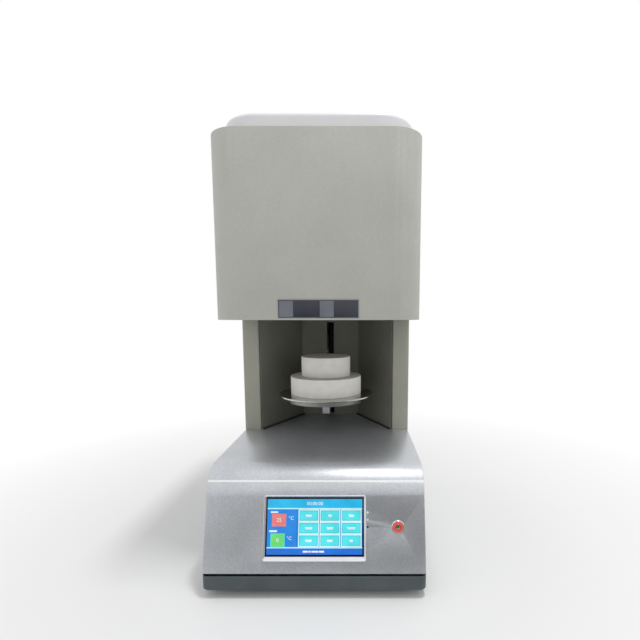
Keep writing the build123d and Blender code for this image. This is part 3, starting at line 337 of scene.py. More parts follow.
def lumps(node):
    """Lowest and highest corner of each separate solid in a CAD node, from left to right."""
    work = bmesh.new()
    work.from_mesh(nodes[node].data)
    bmesh.ops.remove_doubles(work, verts=work.verts, dist=1e-6)
    left = set(work.verts)
    boxes = []
    while left:
        group = [left.pop()]
        for vert in group:
            for edge in vert.link_edges:
                other = edge.other_vert(vert)
                if other in left:
                    left.remove(other)
                    group.append(other)
        low = Vector([min(v.co[i] for v in group) for i in range(3)])
        high = Vector([max(v.co[i] for v in group) for i in range(3)])
        boxes.append((low, high))
    work.free()
    return sorted(boxes, key=lambda box: tuple(box[0]))


def joined(name, parts):
    """Several finished objects made into one mesh."""
    work = bmesh.new()
    for part in parts:
        work.from_mesh(part.data)
        bpy.data.objects.remove(part)
    piece = piece_of(name, work)
    piece.data.set_sharp_from_angle(angle=radians(turned_fold_degrees))
    return piece


foot_rubber = coated(
    "foot_rubber", light=(0.035, 0.035, 0.035), dark=(0.02, 0.02, 0.02),
    patch=0.01, grain=0.0008, relief=0.00008, roughness=0.8,
)
foot_rim = 0.0025
recess_radius = 0.006
recess_depth = 0.004
feet = []
for low, high in lumps("feet"):
    radius = (high.x - low.x) / 2
    outline = [
        (0, recess_depth),
        (recess_radius, recess_depth),
        (recess_radius, 0),
        (radius - foot_rim, 0),
        (radius, foot_rim),
        (radius, high.z),
        (0, high.z),
    ]
    stand = Matrix.Translation(((low.x + high.x) / 2, (low.y + high.y) / 2, 0))
    feet.append(turned("foot", softened(outline, 0.001), stand, sides=48))
fitted(joined("rubber_feet", feet), "feet", foot_rubber)

# Plinth and floor pan: a dark slate skirt with a thin shadow gap above it, and the zinc-plated
# pan behind the gap that carries the electrical parts. Both are folded sheet with softened edges.


def settled(draft):
    """Plain mesh that a draft object's curve or modifiers make. The draft goes."""
    evaluated = draft.evaluated_get(bpy.context.evaluated_depsgraph_get())
    mesh = bpy.data.meshes.new_from_object(evaluated)
    bpy.data.objects.remove(draft)
    return mesh


rounded_fold_degrees = 30


def dressed(node, finish, edge, segments=2):
    """The CAD node with its triangles merged into whole faces and its sharp edges rounded."""
    work = bmesh.new()
    work.from_mesh(nodes[node].data)
    bmesh.ops.remove_doubles(work, verts=work.verts, dist=1e-6)
    bmesh.ops.dissolve_limit(
        work, angle_limit=radians(0.5), verts=work.verts, edges=work.edges, delimit={"NORMAL"}
    )
    rough = piece_of(node + "_rough", work)
    rough.data.shade_smooth()
    rounding = rough.modifiers.new("rounding", "BEVEL")
    rounding.width = edge
    rounding.segments = segments
    rounding.limit_method = "ANGLE"
    rounding.angle_limit = radians(rounded_fold_degrees)
    rounding.harden_normals = True
    skin = settled(rough)
    skin.name = node + "_skin"
    return fitted(placed(node + "_skin", skin), node, finish)


slate_paint = coated(
    "slate_paint", light=(0.075, 0.095, 0.10), dark=(0.055, 0.072, 0.078),
    patch=0.05, grain=0.0009, relief=0.00006, roughness=0.5,
)
zinc_sheet = coated(
    "zinc_sheet", light=(0.50, 0.52, 0.53), dark=(0.36, 0.38, 0.39),
    patch=0.012, grain=0.004, relief=0.00001, roughness=0.38, metallic=0.9,
)
dressed("plinth", slate_paint, edge=0.0008)
dressed("base_pan", zinc_sheet, edge=0.0003)

# Base cover and control panel: sheet steel, folded over a rounded nose, in a silver paint with
# metal flakes that sparkle. The white strip between them is a glossy moulding let in flush.
flake_silver = coated(
    "flake_silver", light=(0.61, 0.63, 0.66), dark=(0.55, 0.57, 0.60),
    patch=0.08, grain=0.0009, relief=0.00003, roughness=0.38, metallic=0.65, fleck=0.09,
)
strip_white = coated(
    "strip_white", light=(0.92, 0.93, 0.93), dark=(0.88, 0.89, 0.90),
    patch=0.05, grain=0.002, relief=0.00001, roughness=0.2,
)
dressed("base_cover", flake_silver, edge=0.0005)
dressed("front_panel", flake_silver, edge=0.0004)
dressed("trim_strip", strip_white, edge=0.0003)

# Column, bay liner and housing: folded sheet in a warm grey powder coat with a fine orange-peel
# skin that is a little cloudy from the spray gun. The legs and the liner take darker copies of the
# coat, the liner's a matt olive grey, as painted shade under the housing and in the bay. A black
# rubber bead lies along the foot of the liner's two slanted sides, a dark piece put there as painted
# shade of the seam.
putty_coat = coated(
    "putty_coat", light=(0.500, 0.505, 0.455), dark=(0.455, 0.460, 0.415),
    patch=0.11, grain=0.0012, relief=0.00007, roughness=0.46, fleck=0.035,
)
# A darker copy of the putty coat: painted shade on the legs under the housing.
shaded_leg_coat = coated(
    "shaded_leg_coat", light=(0.40, 0.40, 0.34), dark=(0.36, 0.36, 0.30),
    patch=0.09, grain=0.0012, relief=0.00007, roughness=0.5, fleck=0.035,
)
# Darker still, a matt olive grey: painted shade in the bay under the housing.
shaded_liner_coat = coated(
    "shaded_liner_coat", light=(0.205, 0.205, 0.170), dark=(0.170, 0.170, 0.140),
    patch=0.09, grain=0.0012, relief=0.00007, roughness=0.6, fleck=0.05,
)
for sheet_node in (
    "housing_shell", "housing_top", "housing_rear_cover", "column_rear_cover", "base_rear_panel",
):
    dressed(sheet_node, putty_coat, edge=0.0004)
for leg_node in ("column_left", "column_right"):
    dressed(leg_node, shaded_leg_coat, edge=0.0004)
dressed("recess_liner", shaded_liner_coat, edge=0.0004)
for plated_node in ("housing_floor", "uprights", "chamber_casing", "motor_bracket"):
    dressed(plated_node, zinc_sheet, edge=0.0003)

liner_verts = [vert.co for vert in nodes["recess_liner"].data.vertices]
liner_foot = min(v.z for v in liner_verts)
liner_front = min(v.y for v in liner_verts)
liner_rear = max(v.y for v in liner_verts)
front_reach = max(v.x for v in liner_verts if v.y < liner_front + 0.004)
rear_verts = [v for v in liner_verts if v.y > liner_rear - 0.0002]
rear_reach = max(v.x for v in rear_verts if v.z < liner_foot + 0.0002)
bead_radius = 0.0022
bead_inset = 0.0035
bead_front_gap = 0.002
bead_rear_gap = 0.0045
bead_z = liner_foot + bead_radius * 0.6
bead_fold_degrees = 40


def banded(work, low, high):
    """Faces all round between two rings of equally many corners."""
    for index in range(len(low)):
        after = (index + 1) % len(low)
        work.faces.new((low[index], low[after], high[after], high[index]))


def swept(name, path_points, radius, around):
    """Closed round bead along straight stretches, with the same section at each point."""
    work = bmesh.new()
    rings = []
    for index, point in enumerate(path_points):
        back = Vector(path_points[max(index - 1, 0)])
        on = Vector(path_points[min(index + 1, len(path_points) - 1)])
        along = (on - back).normalized()
        level = along.cross(Vector((0, 0, 1))).normalized()
        rise = level.cross(along)
        turns = [2 * pi * side / around for side in range(around)]
        spokes = [radius * (cos(t) * level + sin(t) * rise) for t in turns]
        rings.append([work.verts.new(Vector(point) + spoke) for spoke in spokes])
    for low, high in zip(rings, rings[1:]):
        banded(work, low, high)
    work.faces.new(rings[0])
    work.faces.new(rings[-1])
    bmesh.ops.recalc_face_normals(work, faces=work.faces)
    return smoothed(piece_of(name, work), bead_fold_degrees)


# The black beads along the liner's foot are painted shade: a dark piece where the seam shows dark.
for side_name, side in (("left", -1), ("right", 1)):
    bead = swept(
        f"liner_bead_{side_name}",
        [
            (side * (front_reach - bead_inset), liner_front + bead_front_gap, bead_z),
            (side * (rear_reach - bead_inset), liner_rear - bead_rear_gap, bead_z),
        ],
        bead_radius,
        around=12,
    )
    bead.data.materials.append(foot_rubber)
    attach(bead, "root")

# Cap over the housing's air slots: a white moulded shell with a rounded rim and a slightly
# crowned top. It stands in the housing's recessed top.
cap_low, cap_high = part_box("top_cap")
cap_corner = 0.070
cap_rim = 0.008
cap_crown = 0.0012
cap_wall = 0.002
crown_corner = 0.002
cap_fold_degrees = 40


def rounded_plan(half_x, half_y, corner, height, steps=14):
    """Points of a rectangle with rounded corners, at one height, about the origin."""
    points = []
    for quarter, (side_x, side_y) in enumerate(((1, 1), (-1, 1), (-1, -1), (1, -1))):
        for step in range(steps + 1):
            turn = pi / 2 * (quarter + step / steps)
            points.append((
                side_x * (half_x - corner) + corner * cos(turn),
                side_y * (half_y - corner) + corner * sin(turn),
                height,
            ))
    return points


def skinned(work, loops):
    """Side faces between loops of equally many points, one after the other."""
    rings = [[work.verts.new(point) for point in loop] for loop in loops]
    for low, high in zip(rings, rings[1:]):
        banded(work, low, high)
    return rings


cap_half_x = (cap_high[0] - cap_low[0]) / 2
cap_half_y = (cap_high[1] - cap_low[1]) / 2
cap_tall = cap_high[2] - cap_low[2]
cap_loops = [rounded_plan(cap_half_x - cap_wall, cap_half_y - cap_wall, cap_corner - cap_wall, 0)]
cap_loops.append(rounded_plan(cap_half_x, cap_half_y, cap_corner, 0))
rim_steps = 7
for step in range(rim_steps + 1):
    turn = pi / 2 * step / rim_steps
    inset = cap_rim * (1 - cos(turn))
    height = cap_tall - cap_crown - cap_rim + cap_rim * sin(turn)
    cap_loops.append(rounded_plan(cap_half_x - inset, cap_half_y - inset, cap_corner - inset, height))
crown_steps = 6
for step in range(1, crown_steps + 1):
    inset = cap_rim + (cap_corner - cap_rim - crown_corner) * step / crown_steps
    height = cap_tall - cap_crown + cap_crown * sin(pi / 2 * step / crown_steps)
    cap_loops.append(rounded_plan(cap_half_x - inset, cap_half_y - inset, cap_corner - inset, height))
cap_work = bmesh.new()
cap_rings = skinned(cap_work, cap_loops)
cap_work.faces.new(cap_rings[-1])
inner_loops = [
    rounded_plan(cap_half_x - inset, cap_half_y - inset, cap_corner - inset, height)
    for inset, height in ((cap_wall, cap_tall - cap_rim), (cap_rim, cap_tall - cap_crown - cap_wall))
]
inner_rings = skinned(cap_work, inner_loops)
cap_work.faces.new(list(reversed(inner_rings[-1])))
banded(cap_work, cap_rings[0], inner_rings[0])
bmesh.ops.recalc_face_normals(cap_work, faces=cap_work.faces)
cap_x = (cap_low[0] + cap_high[0]) / 2
cap_y = (cap_low[1] + cap_high[1]) / 2
cap_work.transform(Matrix.Translation((cap_x, cap_y, cap_low[2])))
white_cap = smoothed(piece_of("white_cap", cap_work), cap_fold_degrees)
cap_white = coated(
    "cap_white", light=(0.80, 0.80, 0.82), dark=(0.76, 0.76, 0.785),
    patch=0.1, grain=0.0015, relief=0.00003, roughness=0.35,
)
fitted(white_cap, "top_cap", cap_white)

# Table plate: turned and polished alloy with a rolled rim and a shallow groove inside it. The
# lift arm under it and the lift's cast pieces are the same alloy with a satin skin.
bright_alloy = coated(
    "bright_alloy", light=(0.60, 0.60, 0.57), dark=(0.50, 0.50, 0.47),
    patch=0.02, grain=0.0006, relief=0.000003, roughness=0.14, metallic=1.0,
)
satin_alloy = coated(
    "satin_alloy", light=(0.62, 0.63, 0.63), dark=(0.52, 0.53, 0.53),
    patch=0.008, grain=0.0005, relief=0.00002, roughness=0.42, metallic=0.9,
)
plate_low, plate_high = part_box("table_plate")
plate_x = (plate_low[0] + plate_high[0]) / 2
plate_y = (plate_low[1] + plate_high[1]) / 2
plate_radius = (plate_high[0] - plate_low[0]) / 2
plate_top = plate_high[2]
rim_bead = 0.0016
plate_foot_inset = 0.008
rim_undercut = 0.0022
groove_depth = 0.0008
groove_inset = 0.012
groove_slope = 0.002
outline = [
    (0, plate_low[2]),
    (plate_radius - plate_foot_inset, plate_low[2]),
    (plate_radius - rim_undercut, plate_top - 2.4 * rim_bead),
    (plate_radius, plate_top - 2 * rim_bead),
    (plate_radius, plate_top),
    (plate_radius - 2 * rim_bead, plate_top),
    (plate_radius - 2.4 * rim_bead, plate_top - groove_depth),
    (plate_radius - groove_inset, plate_top - groove_depth),
    (plate_radius - groove_inset - groove_slope, plate_top),
    (0, plate_top),
]
plate_stand = Matrix.Translation((plate_x, plate_y, 0))
polished_plate = turned("polished_plate", softened(outline, 0.0012), plate_stand, sides=160)
fitted(polished_plate, "table_plate", bright_alloy)
for alloy_node in (
    "lift_arm", "carriage", "lower_bracket", "upper_bracket", "shaft_coupling", "element_straps",
):
    dressed(alloy_node, satin_alloy, edge=0.0006)

# Hearth discs: rigid white alumina fibre board, cut round on a lathe, with soft edges and a felted
# skin. Their upward faces are painted darker, with specks, as painted shade. The chamber's insulation is
# the same board.
fibre_board = coated(
    "fibre_board", light=(0.86, 0.84, 0.79), dark=(0.79, 0.77, 0.71),
    patch=0.018, grain=0.0016, relief=0.00030, roughness=0.95,
)
# A copy of the board whose upward faces are painted darker with specks: painted shade from above.
board_with_shaded_top = fibre_board.copy()
board_with_shaded_top.name = "board_shade_on_top"
top_shade_tree = board_with_shaded_top.node_tree
facing = added(top_shade_tree, "ShaderNodeNewGeometry")
tilt = added(top_shade_tree, "ShaderNodeSeparateXYZ")
level = added(top_shade_tree, "ShaderNodeMapRange", {"From Min": 0.6, "From Max": 0.95, "To Max": 0.62})
shade_speck_place = added(top_shade_tree, "ShaderNodeTexCoord")
shade_specks = added(top_shade_tree, "ShaderNodeTexNoise", {"Scale": 380.0, "Detail": 5.0})
top_shade_tones = ramp(top_shade_tree, [(0.35, (0.20, 0.20, 0.18)), (0.7, (0.52, 0.51, 0.47))])
top_shade_mix = added(top_shade_tree, "ShaderNodeMix", data_type="RGBA")
top_shade_shader = top_shade_tree.nodes["Principled BSDF"]
unshaded_tones = top_shade_shader.inputs["Base Color"].links[0].from_node
wired(
    top_shade_tree,
    (facing, "True Normal", tilt, 0),
    (tilt, "Z", level, "Value"),
    (shade_speck_place, "Object", shade_specks, "Vector"),
    (shade_specks, "Fac", top_shade_tones, "Fac"),
    (level, "Result", top_shade_mix, "Factor"),
    (unshaded_tones, "Color", top_shade_mix, "A"),
    (top_shade_tones, "Color", top_shade_mix, "B"),
    (top_shade_mix, "Result", top_shade_shader, "Base Color"),
)
for disc in ("hearth_lower", "hearth_upper"):
    low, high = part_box(disc)
    radius = (high[0] - low[0]) / 2
    outline = [(0, low[2]), (radius, low[2]), (radius, high[2]), (0, high[2])]
    stand = Matrix.Translation(((low[0] + high[0]) / 2, (low[1] + high[1]) / 2, 0))
    fitted(turned(disc + "_board", softened(outline, 0.0016), stand, sides=144), disc, board_with_shaded_top)
for board_node in ("insulation_ring", "insulation_wall", "insulation_roof"):
    dressed(board_node, fibre_board, edge=0.001)

# Display: a satin silver frame, whose faces slope in to the glass, round a black glass pane. The
# picture is plain fields and a few numbers, drawn as thin shining tiles laid on the glass.
frame_silver = coated(
    "frame_silver", light=(0.84, 0.85, 0.90), dark=(0.78, 0.79, 0.85),
    patch=0.03, grain=0.0007, relief=0.00001, roughness=0.22, metallic=0.55,
)
black_glass = coated(
    "black_glass", light=(0.008, 0.008, 0.02), dark=(0.004, 0.004, 0.012),
    patch=0.05, grain=0.01, relief=0.000002, roughness=0.08,
)
dressed("display_glass", black_glass, edge=0.0002)

glass_mesh = nodes["display_glass"].data
outward = next(face.normal.copy() for face in glass_mesh.polygons if face.normal.y < -0.9)
across = Vector((1, 0, 0))
upward = outward.cross(across)
front = max(vert.co.dot(outward) for vert in glass_mesh.vertices)
rises = [vert.co.dot(upward) for vert in glass_mesh.vertices if vert.co.dot(outward) > front - 1e-5]
sides_x = [vert.co.x for vert in glass_mesh.vertices]
glass_middle = across * (max(sides_x) + min(sides_x)) / 2 + upward * (max(rises) + min(rises)) / 2
glass_middle += outward * front
glass_place = Matrix((across, upward, outward)).transposed().to_4x4()
glass_place.translation = glass_middle

frame_verts = [vert.co for vert in nodes["display_frame"].data.vertices]
frame_back = min(v.dot(outward) for v in frame_verts) - front
frame_face = max(v.dot(outward) for v in frame_verts) - front
frame_side = max(v.x for v in frame_verts) - glass_middle.x
frame_top = max(v.dot(upward) for v in frame_verts) - glass_middle.dot(upward)
frame_foot = min(v.dot(upward) for v in frame_verts) - glass_middle.dot(upward)
pane_gap = 0.0003
pane_corner = 0.0006
pane_side = max(sides_x) - glass_middle.x + pane_gap
pane_rise = (max(rises) - min(rises)) / 2 + pane_gap
frame_corner = 0.0042
face_slope = 0.0019
outer_edge = 0.0008
edge_turn = outer_edge * 0.3
frame_fold_degrees = 25


def frame_loop(half_x, foot, top, corner, height):
    """Rounded rectangle of the frame, from its foot to its top, at one height over the glass."""
    loop = rounded_plan(half_x, (top - foot) / 2, corner, height, steps=8)
    return [(x, y + (top + foot) / 2, z) for x, y, z in loop]


frame_work = bmesh.new()
frame_loops = [
    frame_loop(frame_side, frame_foot, frame_top, frame_corner, frame_back),
    frame_loop(frame_side, frame_foot, frame_top, frame_corner, frame_face - outer_edge),
    frame_loop(frame_side - edge_turn, frame_foot + edge_turn, frame_top - edge_turn,
               frame_corner - edge_turn, frame_face - edge_turn),
    frame_loop(frame_side - outer_edge, frame_foot + outer_edge, frame_top - outer_edge,
               frame_corner - outer_edge, frame_face),
    frame_loop(pane_side, -pane_rise, pane_rise, pane_corner, frame_face - face_slope),
    frame_loop(pane_side, -pane_rise, pane_rise, pane_corner, frame_back),
]
frame_rings = skinned(frame_work, frame_loops)
banded(frame_work, frame_rings[-1], frame_rings[0])
bmesh.ops.recalc_face_normals(frame_work, faces=frame_work.faces)
frame_work.transform(glass_place)
silver_frame = smoothed(piece_of("silver_frame", frame_work), frame_fold_degrees)
fitted(silver_frame, "display_frame", frame_silver)


tile_thick = 0.00012


def shining(name, colour, glow_strength=1.0):
    """A field of the lit picture: its colour comes from its own light, under a glossy surface."""
    made, tree, shader = new_finish(name)
    shader.inputs["Base Color"].default_value = (0.0, 0.0, 0.0, 1.0)
    shader.inputs["Roughness"].default_value = 0.15
    shader.inputs["Emission Strength"].default_value = glow_strength
    place = added(tree, "ShaderNodeTexCoord")
    rows = added(tree, "ShaderNodeTexNoise", {"Scale": 45.0})
    tones = ramp(tree, [(0.35, [0.86 * part for part in colour]), (0.65, colour)])
    wired(
        tree,
        (place, "Object", rows, "Vector"),
        (rows, "Fac", tones, "Fac"),
        (tones, "Color", shader, "Emission Color"),
    )
    return made


def tiles(name, areas, lift, finish):
    """Thin flat tiles on the glass: each area is (left, bottom, right, top) from its middle."""
    work = bmesh.new()
    for left, bottom, right, top in areas:
        made = bmesh.ops.create_cube(work, size=1.0)["verts"]
        size = Matrix.Diagonal((right - left, top - bottom, tile_thick, 1.0))
        shift = Matrix.Translation(((left + right) / 2, (bottom + top) / 2, lift + tile_thick / 2))
        bmesh.ops.transform(work, matrix=shift @ size, verts=made)
    work.transform(glass_place)
    piece = piece_of(name, work)
    piece.data.materials.append(finish)
    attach(piece, "root")


def number(name, text, middle, height, lift):
    """A plain number or unit, standing on the glass."""
    curve = bpy.data.curves.new(name, "FONT")
    curve.body = text
    curve.size = height * 1.4
    curve.align_x = "CENTER"
    curve.align_y = "CENTER"
    curve.extrude = 0.00005
    curve.resolution_u = 3
    mesh = settled(placed(name + "_draft", curve))
    mesh.transform(glass_place @ Matrix.Translation((middle[0], middle[1], lift)))
    work = bmesh.new()
    work.from_mesh(mesh)
    bmesh.ops.remove_doubles(work, verts=work.verts, dist=1e-6)
    return piece_of(name, work)


picture_x = 0.0792
picture_y = 0.0442
header_foot = picture_y - 0.0142
footer_head = -picture_y + 0.0100
column_edge = -picture_x + 0.0508
rule = 0.0019
band_lift = 0.00012
tile_lift = 0.00024
picture_blue = shining("picture_blue", (0.03, 0.27, 0.80))
header_cyan = shining("header_cyan", (0.03, 0.52, 0.88))
footer_blue = shining("footer_blue", (0.02, 0.19, 0.78))
rule_pale = shining("rule_pale", (0.55, 0.95, 1.0))
key_frame_pale = shining("key_frame_pale", (0.66, 0.98, 1.0))
key_cyan = shining("key_cyan", (0.10, 0.82, 0.90))
key_teal = shining("key_teal", (0.03, 0.42, 0.50))
tile_rose = shining("tile_rose", (0.88, 0.25, 0.24))
tile_green = shining("tile_green", (0.18, 0.80, 0.20))
digit_white = shining("digit_white", (0.92, 0.97, 1.0))
tiles("picture_ground", [(-picture_x, -picture_y, picture_x, picture_y)], 0.0, picture_blue)
tiles("picture_header", [(-picture_x, header_foot, picture_x, picture_y)], band_lift, header_cyan)
tiles("picture_footer", [(-picture_x, -picture_y, picture_x, footer_head)], band_lift, footer_blue)
tiles("picture_rules", [
    (-picture_x, header_foot - rule, picture_x, header_foot),
    (-picture_x, footer_head, picture_x, footer_head + rule),
], tile_lift, rule_pale)
rose_area = (-0.0715, 0.0005, -0.0478, 0.0205)
green_area = (-0.0722, -0.0315, -0.0506, -0.0118)
tiles("reading_tile_rose", [rose_area], tile_lift, tile_rose)
tiles("reading_tile_green", [green_area], tile_lift, tile_green)
edge = 0.0012
left, foot, right, head = green_area
green_edge = [
    (left - edge, foot - edge, right + edge, foot),
    (left - edge, head, right + edge, head + edge),
    (left - edge, foot, left, head),
    (right, foot, right + edge, head),
]
tiles("reading_edge", green_edge, tile_lift, key_cyan)
line_width = 0.0012
line_right = column_edge - 0.0004
column_line = (line_right - line_width, footer_head + rule, line_right, header_foot - rule)
tiles("column_lines", [column_line], tile_lift, footer_blue)

# Keys of the picture: three rows of three, each a pale frame and a teal edge round a cyan field,
# laid out on a grid between the header, the footer and the column of readings.
keys_left = column_edge + 0.0005
keys_right = picture_x - 0.0005
keys_top = header_foot - rule - 0.0002
keys_foot = footer_head + rule + 0.0002
keys_in_row = 3
key_middle_x = (keys_left + keys_right) / 2
key_middle_y = (keys_top + keys_foot) / 2
key_pitch_x = (keys_right - keys_left) / keys_in_row
key_pitch_y = (keys_top - keys_foot) / keys_in_row


def node_tree(name, kinds):
    """New geometry nodes tree, its node of named inputs and its Realize Instances node.

    kinds gives each input's name and kind of socket. The tree ends in Set Material.
    """
    tree = bpy.data.node_groups.new(name + "_tree", "GeometryNodeTree")
    for label, kind in kinds.items():
        tree.interface.new_socket(name=label, in_out="INPUT", socket_type=kind)
    tree.interface.new_socket(name="Geometry", in_out="OUTPUT", socket_type="NodeSocketGeometry")
    given = added(tree, "NodeGroupInput")
    result = added(tree, "NodeGroupOutput")
    real = added(tree, "GeometryNodeRealizeInstances")
    painted = added(tree, "GeometryNodeSetMaterial")
    wired(
        tree,
        (real, "Geometry", painted, "Geometry"),
        (given, "Finish", painted, "Material"),
        (painted, "Geometry", result, "Geometry"),
    )
    return tree, given, real


def grown(name, tree, values, places=None):
    """Plain mesh that a tree makes from the values of its named inputs."""
    draft = placed(name + "_draft", places or bpy.data.meshes.new(name + "_draft"))
    growth = draft.modifiers.new("growth", "NODES")
    growth.node_group = tree
    for socket in tree.interface.items_tree:
        if socket.item_type == "SOCKET" and socket.in_out == "INPUT" and socket.name in values:
            growth[socket.identifier] = values[socket.name]
    mesh = settled(draft)
    mesh.name = name
    return mesh


def key_grid(name, count, pitch_x, pitch_y, width, height, lift, finish):
    """Equal tiles on a square grid, made with geometry nodes and turned into a plain mesh."""
    tree, given, real = node_tree(name, {
        "Columns and Rows": "NodeSocketInt",
        "Pitch X": "NodeSocketFloat",
        "Pitch Y": "NodeSocketFloat",
        "Tile Size": "NodeSocketVector",
        "Finish": "NodeSocketMaterial",
    })
    less = added(tree, "ShaderNodeMath", {1: 1.0}, operation="SUBTRACT")
    grid = added(tree, "GeometryNodeMeshGrid")
    tile = added(tree, "GeometryNodeMeshCube")
    spread = added(tree, "GeometryNodeInstanceOnPoints")
    for axis in "XY":
        span = added(tree, "ShaderNodeMath", operation="MULTIPLY")
        wired(
            tree,
            (less, 0, span, 0),
            (given, "Pitch " + axis, span, 1),
            (span, 0, grid, "Size " + axis),
            (given, "Columns and Rows", grid, "Vertices " + axis),
        )
    wired(
        tree,
        (given, "Columns and Rows", less, 0),
        (given, "Tile Size", tile, "Size"),
        (grid, "Mesh", spread, "Points"),
        (tile, "Mesh", spread, "Instance"),
        (spread, "Instances", real, "Geometry"),
    )
    mesh = grown(name, tree, {
        "Columns and Rows": count,
        "Pitch X": pitch_x,
        "Pitch Y": pitch_y,
        "Tile Size": (width, height, tile_thick),
        "Finish": finish,
    })
    mesh.transform(glass_place @ Matrix.Translation((key_middle_x, key_middle_y, lift)))
    piece = placed(name, mesh)
    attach(piece, "root")


for grid_name, gap_x, gap_y, grid_lift, grid_finish in (
    ("key_frames", 0.0012, 0.0, 0.00030, key_frame_pale),
    ("key_edges", 0.0046, 0.0038, 0.00042, key_teal),
    ("key_fields", 0.0062, 0.0054, 0.00054, key_cyan),
):
    key_wide = key_pitch_x - gap_x
    key_tall = key_pitch_y - gap_y
    key_grid(
        grid_name, keys_in_row, key_pitch_x, key_pitch_y, key_wide, key_tall, grid_lift, grid_finish
    )
rose_middle = ((rose_area[0] + rose_area[2]) / 2, (rose_area[1] + rose_area[3]) / 2)
green_middle = ((green_area[0] + green_area[2]) / 2, (green_area[1] + green_area[3]) / 2)
unit_gap = 0.0085
unit_rise = 0.0030
rose_unit = (rose_area[2] + unit_gap, rose_middle[1] + unit_rise)
green_unit = (green_area[2] + unit_gap, green_middle[1] + unit_rise)
reading_height = 0.0062
unit_height = 0.0056
reading_lift = 0.00045
unit_lift = 0.00030
numbers = [
    number("reading_rose", "25", rose_middle, reading_height, reading_lift),
    number("reading_green", "0", green_middle, reading_height, reading_lift),
    number("unit_rose", "\u00b0C", rose_unit, unit_height, unit_lift),
    number("unit_green", "\u00b0C", green_unit, unit_height, unit_lift),
    number("header_number", "00:00:00", (0.0, picture_y - 0.0072), unit_height, unit_lift),
]
bars = [
    (rose_area[0] - 0.0020, rose_area[3] + 0.0016, rose_area[0] + 0.0100, rose_area[3] + 0.0042),
    (rose_area[0] - 0.0040, green_area[3] + 0.0034, rose_area[0] + 0.0090, green_area[3] + 0.0062),
]
upper_bar_foot = -0.0003
upper_bar_head = 0.0015
lower_bar_foot = -0.0020
lower_bar_head = -0.0008
bar_half_widths = (0.0050, 0.0032, 0.0044, 0.0060, 0.0056, 0.0068, 0.0054, 0.0048, 0.0030)
for key, half in enumerate(bar_half_widths):
    key_x = key_middle_x + (key % keys_in_row - 1) * key_pitch_x
    key_y = key_middle_y + (1 - key // keys_in_row) * key_pitch_y
    bars.append((key_x - half, key_y + upper_bar_foot, key_x + half, key_y + upper_bar_head))
    bars.append((key_x - half * 0.8, key_y + lower_bar_foot, key_x + half * 0.9, key_y + lower_bar_head))
footer_bar_foot = -picture_y + 0.0036
footer_bar_head = -picture_y + 0.0062
footer_spans = ((-0.0190, -0.0110), (-0.0098, -0.0062), (-0.0048, 0.0066), (0.0078, 0.0160))
for left, right in footer_spans:
    bars.append((left, footer_bar_foot, right, footer_bar_head))
bar_lift = 0.00066
tiles("picture_bars", bars, bar_lift, digit_white)
digits = joined("picture_numbers", numbers)
digits.data.materials.append(digit_white)
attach(digits, "root")

# Indicator lamps: three small domed lenses beside the display, one greenish white, one amber
# and one dark.
lamp_tip = 0.0024
lamp_crown = 0.0004
lamp_glow = 0.9
lamp_colours = ((0.02, 0.02, 0.02), (0.95, 0.70, 0.30), (0.80, 0.95, 0.85))
for index, (low, high) in enumerate(sorted(lumps("indicator_lamps"), key=lambda box: box[0].z)):
    middle = (low + high) / 2
    radius = (high.x - low.x) / 2
    stand = glass_place.copy()
    stand.translation = middle
    outline = [
        (0, -lamp_tip),
        (radius, -lamp_tip),
        (radius, lamp_tip - radius / 2),
        (radius * 0.7, lamp_tip),
        (0, lamp_tip + lamp_crown),
    ]
    lamp = turned(f"lamp_{index}", softened(outline, 0.0006), stand, sides=24)
    lens = shining(f"lamp_lens_{index}", lamp_colours[index], lamp_glow if index else 0.0)
    lamp.data.materials.append(lens)
    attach(lamp, "root")
    if index == 0:
        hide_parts("indicator_lamps")

# Power button: a turned and polished steel bezel with its barrel behind the panel, a red ring let
# into it and a satin cap that is pushed in.
polished_steel = coated(
    "polished_steel", light=(0.80, 0.79, 0.79), dark=(0.72, 0.71, 0.72),
    patch=0.006, grain=0.0008, relief=0.000003, roughness=0.12, metallic=1.0,
)
satin_steel = coated(
    "satin_steel", light=(0.40, 0.38, 0.38), dark=(0.30, 0.28, 0.28),
    patch=0.004, grain=0.0006, relief=0.000006, roughness=0.3, metallic=0.9,
)
ring_red = shining("ring_red", (0.48, 0.055, 0.025), 0.9)
ring_red.node_tree.nodes["Principled BSDF"].inputs["Base Color"].default_value = (0.45, 0.06, 0.03, 1.0)


def along_panel(node):
    """Stand, radius and length of a round CAD node that is square to the panel.

    The stand is on the node's centre line, at its front end, with its Z axis pointing outwards.
    """
    verts = [vert.co for vert in nodes[node].data.vertices]
    middle_x = (min(v.x for v in verts) + max(v.x for v in verts)) / 2
    heights = [v.dot(upward) for v in verts]
    reaches = [v.dot(outward) for v in verts]
    stand = glass_place.copy()
    middle = across * middle_x + upward * (min(heights) + max(heights)) / 2
    stand.translation = middle + outward * max(reaches)
    radius = (max(v.x for v in verts) - min(v.x for v in verts)) / 2
    return stand, radius, max(reaches) - min(reaches)


